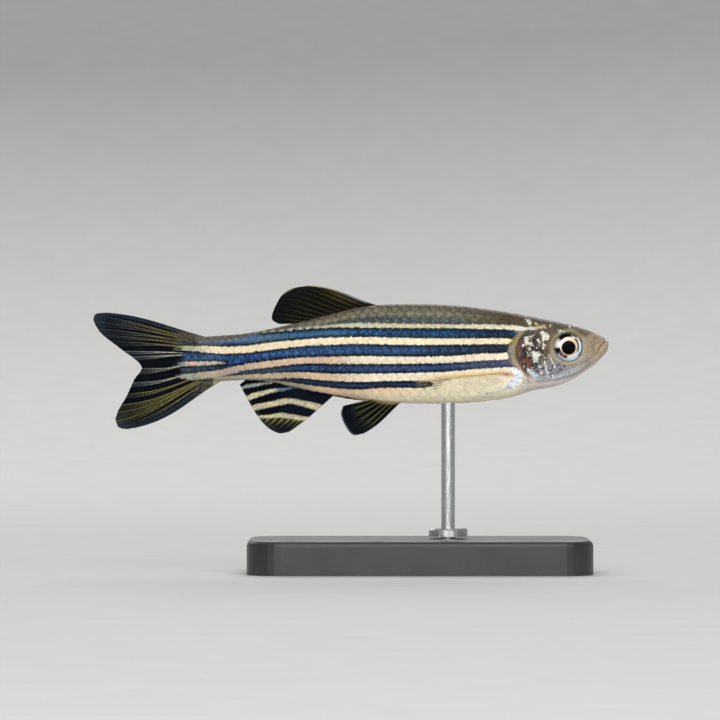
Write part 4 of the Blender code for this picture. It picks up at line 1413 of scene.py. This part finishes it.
def tail_fin_looks(points, shares):
    """Dark fin with tan, pale and gold rays in bundles, which goes on from the marks of the body."""
    u, v, ray = shares.T
    s, z = points[:, 0], points[:, 2]
    margin = np.maximum(fall(u, 0.0, 0.05), ramp(u, 0.96, 1.0))
    tips = ramp(v, 0.82, 1.0) * np.maximum(fall(u, 0.1, 0.3), ramp(u, 0.85, 0.95))
    dark = fade((3, 6, 13), (38, 46, 56), np.clip(0.7 * margin + 0.75 * tips, 0, 1))
    for number, given in enumerate(TAIL_RAYS):
        near, far = RAY_COLOURS[given[4]]
        off = np.abs(u - ray_share(given, v)) / (given[2] * (0.35 + 0.65 * v) + 0.003)
        strength = 0.2 if given[4] == PALE else 0.12
        beside = strength * fall(off, 0.7, 1.2) * (ray < 0) * (1 - 0.4 * ramp(v, 0.5, 1.0))
        dark = fade(dark, fade(near, far, ramp(v, 0.2, 0.9)), np.where(ray == number, 0.85, beside))
    away = 0.5 * (mottle(s, z, 0.25, 31) - 0.5)
    hide = fall(s + away, 37.0, 39.4) * fall(u, 0.24, 0.32)
    low_hide = fall(s + away, 35.0, 37.4) * ramp(u, 0.8, 0.9)
    scaly = fade((32, 33, 29), (80, 79, 66), ramp(mottle(s, z, 0.12, 32), 0.3, 0.8))
    body = body_looks(s, z)
    is_light = ramp(body["edge"], -0.03, 0.03)
    reach = 36.9 + 0.1 * is_light + 1.6 * away - 1.9 * fall(z, -2.7, -2.2)
    share = fall(s, reach, reach + 0.9)
    dark = painted(
        dark, (np.maximum(hide, low_hide) * (0.8 - 0.45 * (ray >= 0)), scaly),
        (share, fade(body["dark"], body["light"], is_light)),
    )
    return plain_looks(
        len(u), dark=dark, glint=body["glint"], blue=body["blue"] * (1 - is_light) * share,
        speck=0.3 + 0.3 * (ray >= 0),
    )


def anal_fin_looks(points, shares):
    """Blue-black fin with cream bands across it, olive rays towards its tip and a grey edge."""
    u, v, ray = shares.T
    ray = (ray >= 0) * 1.0
    s, z = points[:, 0], points[:, 2]
    counted = u * (ANAL_RAY_COUNT - 1)
    stepped_z = z + 0.19 * ((2 * counted) % 1 - 0.5)
    edge = np.maximum.reduce([line_distance(band, s, stepped_z) for band in ANAL_BANDS])
    blue_white = np.maximum(
        ramp(z, -3.8, -3.5) * fall(s, 28.6, 29.4), 0.6 * ramp(z + 0.35 * (s - 31.0), -3.26, -3.16)
    )
    light = painted(
        (178, 174, 150), (ramp(mottle(s, z, 0.16, 41), 0.25, 0.75), (210, 200, 164)),
        (ray * fall(u, 0.35, 0.6) * 0.7, (168, 130, 84)), (blue_white, (104, 132, 146)),
    )
    tip = fall(z, -6.0, -5.6)
    near_ray = ramp(np.abs(counted % 1 - 0.5), 0.16, 0.36)
    olive = tip * ramp(z, -6.9, -6.0) * fall(s, 29.6, 30.8)
    olive = olive * np.maximum(0.9 * ray, near_ray * ramp(v, 0.5, 0.7))
    olive_colour = fade((84, 86, 42), (146, 144, 70), ramp(z, -6.4, -5.8))
    lead = fall(u, 0.0, 0.03) * ramp(v, 0.55, 0.7)
    dark = painted(
        (4, 14, 28), (ramp(s, 27.6, 29.4), (2, 4, 9)), (olive * 0.72, olive_colour),
        (ramp(v, 0.88, 1.0) * 0.7, (40, 50, 60)), (lead, (130, 128, 60)),
        (ray * 0.5 * (1 - tip), (8, 16, 26)),
    )
    return plain_looks(
        len(u), light=light, dark=dark, glint=(12, 26, 44), edge=np.maximum(edge, -1.0), ragged=0.1,
        speck=0.35,
    )


def dorsal_fin_looks(points, shares):
    """Dark olive fin with fine dark lanes, gold near its front, a pale front edge and a grey rear."""
    u, v, ray = shares.T
    ray = (ray >= 0) * 1.0
    rear = ramp(v, 0.5, 0.95)
    lane = fall(np.abs((u * (DORSAL_RAY_COUNT - 1)) % 1 - 0.5), 0.06, 0.22)
    gold = fall(u, 0.05, 0.3) * between(v, 0.14, 0.3, 0.45, 0.75)
    tip_line = ramp(v, 0.965, 0.985) * fall(u, 0.25, 0.45) * 0.7
    pale = np.maximum(fall(u, 0.0, 0.05) * ramp(v, 0.08, 0.2), tip_line)
    dark = painted(
        (17, 17, 9), (rear, (12, 15, 18)), (lane, (4, 5, 5)),
        (ray * 0.9, fade((56, 54, 32), (34, 39, 43), rear)), (gold * (0.08 + 0.5 * ray), (132, 112, 62)),
        (pale, fade((132, 142, 152), (170, 162, 130), ramp(v, 0.35, 0.7))),
    )
    return plain_looks(len(u), dark=dark, glint=(54, 56, 42), blue=0.1, speck=0.35)


def pelvic_fin_looks(points, shares):
    """Black fin with olive rays that fade towards a thin pale edge."""
    u, v, ray = shares.T
    rays = painted(
        (78, 82, 40), (ramp(u, 0.85, 1.0), (142, 132, 80)), (fall(u, 0.02, 0.08), (24, 32, 42)),
        (ramp(v, 0.5, 0.85), (24, 32, 44)),
    )
    off_ray = np.abs(np.sin(u * (PELVIC_RAY_COUNT - 1) * math.pi))
    dark = painted(
        (54, 58, 30), (ramp(off_ray, 0.2, 0.5), (3, 5, 8)), (ramp(v, 0.45, 0.8), (4, 7, 13)),
        ((ray >= 0) * 1.0, rays), (fall(v, 0.02, 0.16 + 0.14 * u), (172, 156, 116)),
        (ramp(v, 0.972, 0.985) * 0.8, (120, 124, 132)),
    )
    return plain_looks(len(u), dark=dark, blue=0.05)


def make_fin(name, node, middle, looks_of, material, slot, *shape):
    """One fin in place of its plain solid. The shape is what fin_mesh takes after the middle."""
    points, faces, shares = fin_mesh(middle, *shape)
    piece = add_piece(name, placed(points), faces, looks_of(points, shares), material, (node,))


def upright(places, wave=0.05):
    """Middle surface of a fin in the middle plane, a little wavy towards its edge."""

    def middle(u, v):
        place = places(u, v)
        u, v = np.broadcast_arrays(np.asarray(u, float), np.asarray(v, float))
        sway = wave * v * v * np.sin(5.0 * u + 2.2 * v)
        return np.stack((place[..., 0], sway, place[..., 1]), -1)

    return middle


def make_upright_fins(material):
    """Dorsal, anal and tail fins."""
    dorsal = upright(ray_places(DORSAL_ROOTS, DORSAL_TIPS, bow=lambda u: 0.55 * (1 - u)))
    anal = upright(ray_places(ANAL_ROOTS, ANAL_TIPS, bow=lambda u: -0.18 * (1 - u)))
    tail = upright(ray_places(TAIL_ROOTS, TAIL_TIPS, TAIL_ROOT_BULGE, lambda u: 0.5 - 1.28 * u), 0.12)
    dorsal_rays = even_rays(DORSAL_RAY_COUNT, 4, 0.36)
    anal_rays = even_rays(ANAL_RAY_COUNT, 2)
    for name, middle, looks_of, *shape in (
        ("dorsal", dorsal, dorsal_fin_looks, 90, 60, dorsal_rays, 0.06, 0.03),
        ("anal", anal, anal_fin_looks, 150, 80, anal_rays, 0.055, 0.03),
        ("caudal", tail, tail_fin_looks, 240, 90, TAIL_RAYS, 0.08, 0.035),
    ):
        make_fin(name, f"{name}_fin", middle, looks_of, material, "dark_fin", *shape)


def make_pelvic_fins(material):
    """Pelvic fins, which spread below the belly."""
    places = ray_places(PELVIC_ROOTS, PELVIC_TIPS, bow=lambda u: -0.35 * (1 - u))
    for word, side in SIDES:

        def middle(u, v):
            place = places(u, v)
            v = np.broadcast_to(v, place.shape[:-1])
            y = side * (PELVIC_SIDE + PELVIC_SPREAD * v)
            return np.stack((place[..., 0], y, place[..., 1]), -1)

        make_fin(
            f"pelvic_{word}", f"pelvic_fin_{word}", middle, pelvic_fin_looks, material, "dark_fin",
            70, 50, even_rays(PELVIC_RAY_COUNT, 4, 0.34), 0.06, 0.025,
        )


# Dark part of some rays of the pectoral fin: (ray, share of its length where the dark starts)
PECTORAL_STREAKS = ((1, 0.6), (2, 0.68), (3, 0.72), (4, 0.79))


def pectoral_fin_looks(points, shares):
    """Clear fin with a golden first ray and short dark streaks on the next ones."""
    u, v, ray = shares.T
    lead = fall(u, 0.03, 0.14)
    streak = sum(
        (ray == number) * between(v, start, start + 0.05, 0.86, 0.92) for number, start in PECTORAL_STREAKS
    )
    dark = painted(
        (226, 212, 160), (lead, (226, 192, 118)), (streak, (24, 26, 30)),
        (fall(v, 0.0, 0.1), (190, 146, 106)),
    )
    clear = np.clip(0.03 + 0.04 * (ray >= 0) + 0.9 * streak + 0.6 * lead * (1 - 0.5 * v), 0, 0.9)
    clear = np.maximum(clear, 0.85 * fall(v, 0.02, 0.12))
    return plain_looks(len(u), dark=dark, blue=0.0, speck=0.05, clear=clear)


def make_pectoral_fins(material):
    """Pectoral fins, folded back along the sides."""
    places = ray_places(PECTORAL_ROOTS, PECTORAL_TIPS)
    for word, side in SIDES:

        def middle(u, v):
            place = places(u, v)
            s, z = place[..., 0], place[..., 1]
            v = np.broadcast_to(v, s.shape)
            skin = side_of_body(s, np.maximum(z, belly_at(s) * 0.8))
            y = side * (skin - 0.25 + 0.4 * np.minimum(4 * v, 1) + 0.4 * v)
            return np.stack((s, y, z), -1)

        make_fin(
            f"pectoral_{word}", f"pectoral_fin_{word}", middle, pectoral_fin_looks, material, "clear_fin",
            60, 60, even_rays(9, 1), 0.055, 0.015,
        )


def clear_material():
    """Marked finish for the clear fins, which lets the flank show through."""
    material = marked_material("clear_fin", roughness=0.35, gloss=0.2, coat=0.0)
    tree = material.node_tree
    tree.links.new(attribute(tree, "clear"), tree.nodes["Principled BSDF"].inputs["Alpha"])
    return material


# Feelers

BARBEL_SIDES = 10
UPPER_BARBEL = ((0.75, 0.95), (1.2, 0.7), (1.75, 0.45))
LOWER_BARBEL = ((1.3, -0.15), (2.0, -0.75), (2.9, -1.25), (3.9, -1.6))


def make_barbels(material):
    """Two pairs of thin feelers that lie back along the cheek."""
    for part, stations, radius in (("upper", UPPER_BARBEL, 0.055), ("lower", LOWER_BARBEL, 0.06)):
        path = smooth_path(stations, 20)
        s, z = path[:, 0], path[:, 1]
        share = np.linspace(0, 1, len(path))
        line = np.stack((s, side_of_body(s, z) + 0.12 * ramp(share, 0.0, 0.4), z), -1)
        along = np.gradient(line, axis=0)
        across = np.cross(along, (0.0, 1.0, 0.0))
        across /= np.linalg.norm(across, axis=1, keepdims=True)
        up = np.cross(along, across)
        up /= np.linalg.norm(up, axis=1, keepdims=True)
        thick = radius * (1 - 0.6 * share) * np.sqrt(np.clip(1.02 - share ** 12, 0, 1))
        points = tube_points(line, across, up, thick, thick, BARBEL_SIDES)
        faces = tube_faces(len(path), BARBEL_SIDES)
        looks = plain_looks(len(points), dark=(158, 142, 122), blue=0.0)
        for word, side in SIDES:
            mirrored = placed(points * (1.0, side, 1.0))
            name = f"{part}_feeler_{word}"
            piece = add_piece(name, mirrored, faces, looks, material, (f"{part}_barbel_{word}",))


# Stand

BASE_DARK = (0.018, 0.018, 0.02, 1.0)
BASE_HAZE = (0.03, 0.03, 0.032, 1.0)
STEEL_DARK = (0.36, 0.37, 0.38, 1.0)
STEEL_BRIGHT = (0.62, 0.63, 0.64, 1.0)


def stand_base_material():
    """Satin black acrylic with a faint haze and a fine matt grain."""
    material, tree, shader = new_material("base_acrylic")
    place = millimetres(tree)
    haze = noise(tree, place, 0.3, 3.0)
    colour = mixed(tree, stepped(tree, haze, 0.3, 0.7), BASE_DARK, BASE_HAZE)
    put(tree, shader.inputs["Base Color"], colour)
    put(tree, shader.inputs["Roughness"], stepped(tree, haze, 0.3, 0.7, 0.34, 0.46))
    bump(tree, shader, noise(tree, place, 7.0), 0.006)
    return material


def stand_rod_material():
    """Brushed steel."""
    material, tree, shader = new_material("rod_steel")
    brushed = noise(tree, millimetres(tree, (9.0, 9.0, 0.6)), 1.6, 3.0)
    put(tree, shader.inputs["Base Color"], mixed(tree, brushed, STEEL_DARK, STEEL_BRIGHT))
    put(tree, shader.inputs["Metallic"], 1.0)
    put(tree, shader.inputs["Roughness"], stepped(tree, brushed, 0.3, 0.7, 0.22, 0.38))
    bump(tree, shader, brushed, 0.008)
    return material


def finish_stand():
    """Better materials on the stand's own solids."""
    for node, material, slot in (
        ("stand_base", stand_base_material(), "stand_base"),
        ("stand_rod", stand_rod_material(), "stand_rod"),
    ):
        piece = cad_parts[node]
        piece.data.materials.clear()
        piece.data.materials.append(material)


# Floor, light and camera

FLOOR_RADIUS = 0.35
FLOOR_RINGS = 8
FLOOR_AROUND = 96
FLOOR_DARKER = (0.6, 0.6, 0.59, 1.0)
FLOOR_LIGHTER = (0.66, 0.66, 0.65, 1.0)
WALL_BEND = 0.45
WALL_RINGS = 24
# Soft lights: (name, place, width and height, power, spread in degrees)
LIGHTS = (
    ("key", (0.1, -0.42, 0.33), (0.45, 0.3), 0.8, 180),
    ("low", (0.0, -0.42, 0.1), (0.6, 0.08), 0.3, 80),
    ("rear", (-0.05, 0.42, 0.33), (0.45, 0.3), 1.05, 180),
    ("top", (0.0, 0.0, 0.6), (0.5, 0.5), 0.4, 180),
)
SURROUND = 0.4
PICTURE_SIZE = 720
PICTURE_MM_PER_PIXEL = 0.0873
AIM = (0.81, 18.58)
LENS = 250.0
SENSOR = 36.0


def floor_mesh():
    """Disc whose rim bends up into a wall all round."""
    profile = [(FLOOR_RADIUS * i / FLOOR_RINGS, 0.0) for i in range(1, FLOOR_RINGS + 1)]
    for i in range(1, WALL_RINGS + 1):
        angle = math.pi / 2 * i / WALL_RINGS
        profile.append((FLOOR_RADIUS + WALL_BEND * math.sin(angle), WALL_BEND * (1 - math.cos(angle))))
    turns = np.arange(FLOOR_AROUND) * 2 * math.pi / FLOOR_AROUND
    rings = [
        np.stack((r * np.cos(turns), r * np.sin(turns), np.full(FLOOR_AROUND, height)), -1)
        for r, height in profile
    ]
    points = np.concatenate((*rings, [[0.0, 0.0, 0.0]]))
    faces = ring_faces(len(rings), FLOOR_AROUND)
    faces += [(len(points) - 1, (j + 1) % FLOOR_AROUND, j) for j in range(FLOOR_AROUND)]
    mesh = bpy.data.meshes.new("floor")
    mesh.from_pydata(points.tolist(), [], faces)
    mesh.shade_smooth()
    return mesh


def make_floor():
    """Pale floor that bends up into a backdrop all round."""
    floor = bpy.data.objects.new("floor", floor_mesh())
    bpy.context.scene.collection.objects.link(floor)
    material, tree, shader = new_material("pale_floor")
    grain = noise(tree, millimetres(tree, (0.2, 0.2, 0.2)), 1.0, 3.0)
    put(tree, shader.inputs["Base Color"], mixed(tree, grain, FLOOR_DARKER, FLOOR_LIGHTER))
    put(tree, shader.inputs["Roughness"], 0.8)
    floor.data.materials.append(material)


def add_light(name, location, size, power, spread):
    """Soft light, size wide and high, that faces the fish and is not itself seen."""
    data = bpy.data.lights.new(name, "AREA")
    data.shape = "RECTANGLE"
    data.size, data.size_y = size
    data.energy = power
    data.spread = math.radians(spread)
    light = bpy.data.objects.new(name, data)
    light.location = location
    light.visible_camera = False
    facing = Vector((0.0, 0.0, AXIS_HEIGHT * MM)) - Vector(location)
    light.rotation_euler = facing.to_track_quat("-Z", "Y").to_euler()
    bpy.context.scene.collection.objects.link(light)


def make_lights():
    """Soft light from the front, with weaker ones below and above, one behind, and an even surround."""
    world = bpy.data.worlds.new("studio")
    world.use_nodes = True
    background = world.node_tree.nodes["Background"]
    background.inputs["Color"].default_value = (1.0, 1.0, 1.0, 1.0)
    background.inputs["Strength"].default_value = SURROUND
    bpy.context.scene.world = world
    for light in LIGHTS:
        add_light(*light)
    bpy.context.scene.view_settings.view_transform = "Standard"


def make_camera():
    """Level camera square to the side of the fish, at the photograph's scale."""
    width = PICTURE_SIZE * PICTURE_MM_PER_PIXEL * MM
    distance = width * LENS / SENSOR
    data = bpy.data.cameras.new("camera")
    data.lens = LENS
    data.sensor_width = SENSOR
    data.clip_start = 0.005
    data.clip_end = 10.0
    camera = bpy.data.objects.new("camera", data)
    camera.location = (AIM[0] * MM, -distance, AIM[1] * MM)
    camera.rotation_euler = (math.pi / 2, 0.0, 0.0)
    bpy.context.scene.collection.objects.link(camera)
    bpy.context.scene.camera = camera


def main():
    """Makes everything, from the camera to the stand's finish."""
    make_camera()
    make_lights()
    make_floor()
    skin_finish = marked_material("skin", roughness=0.34, gloss=0.08, coat=0.02)
    scale_finish = marked_material("scales", roughness=0.3, gloss=0.06, coat=0.0)
    fin_finish = marked_material("dark_fin", roughness=0.5, gloss=0.02, coat=0.0)
    make_skin(skin_finish)
    make_scales(scale_finish)
    make_eyes(eye_material())
    make_upright_fins(fin_finish)
    make_pelvic_fins(fin_finish)
    make_pectoral_fins(clear_material())
    make_barbels(skin_finish)
    finish_stand()


main()
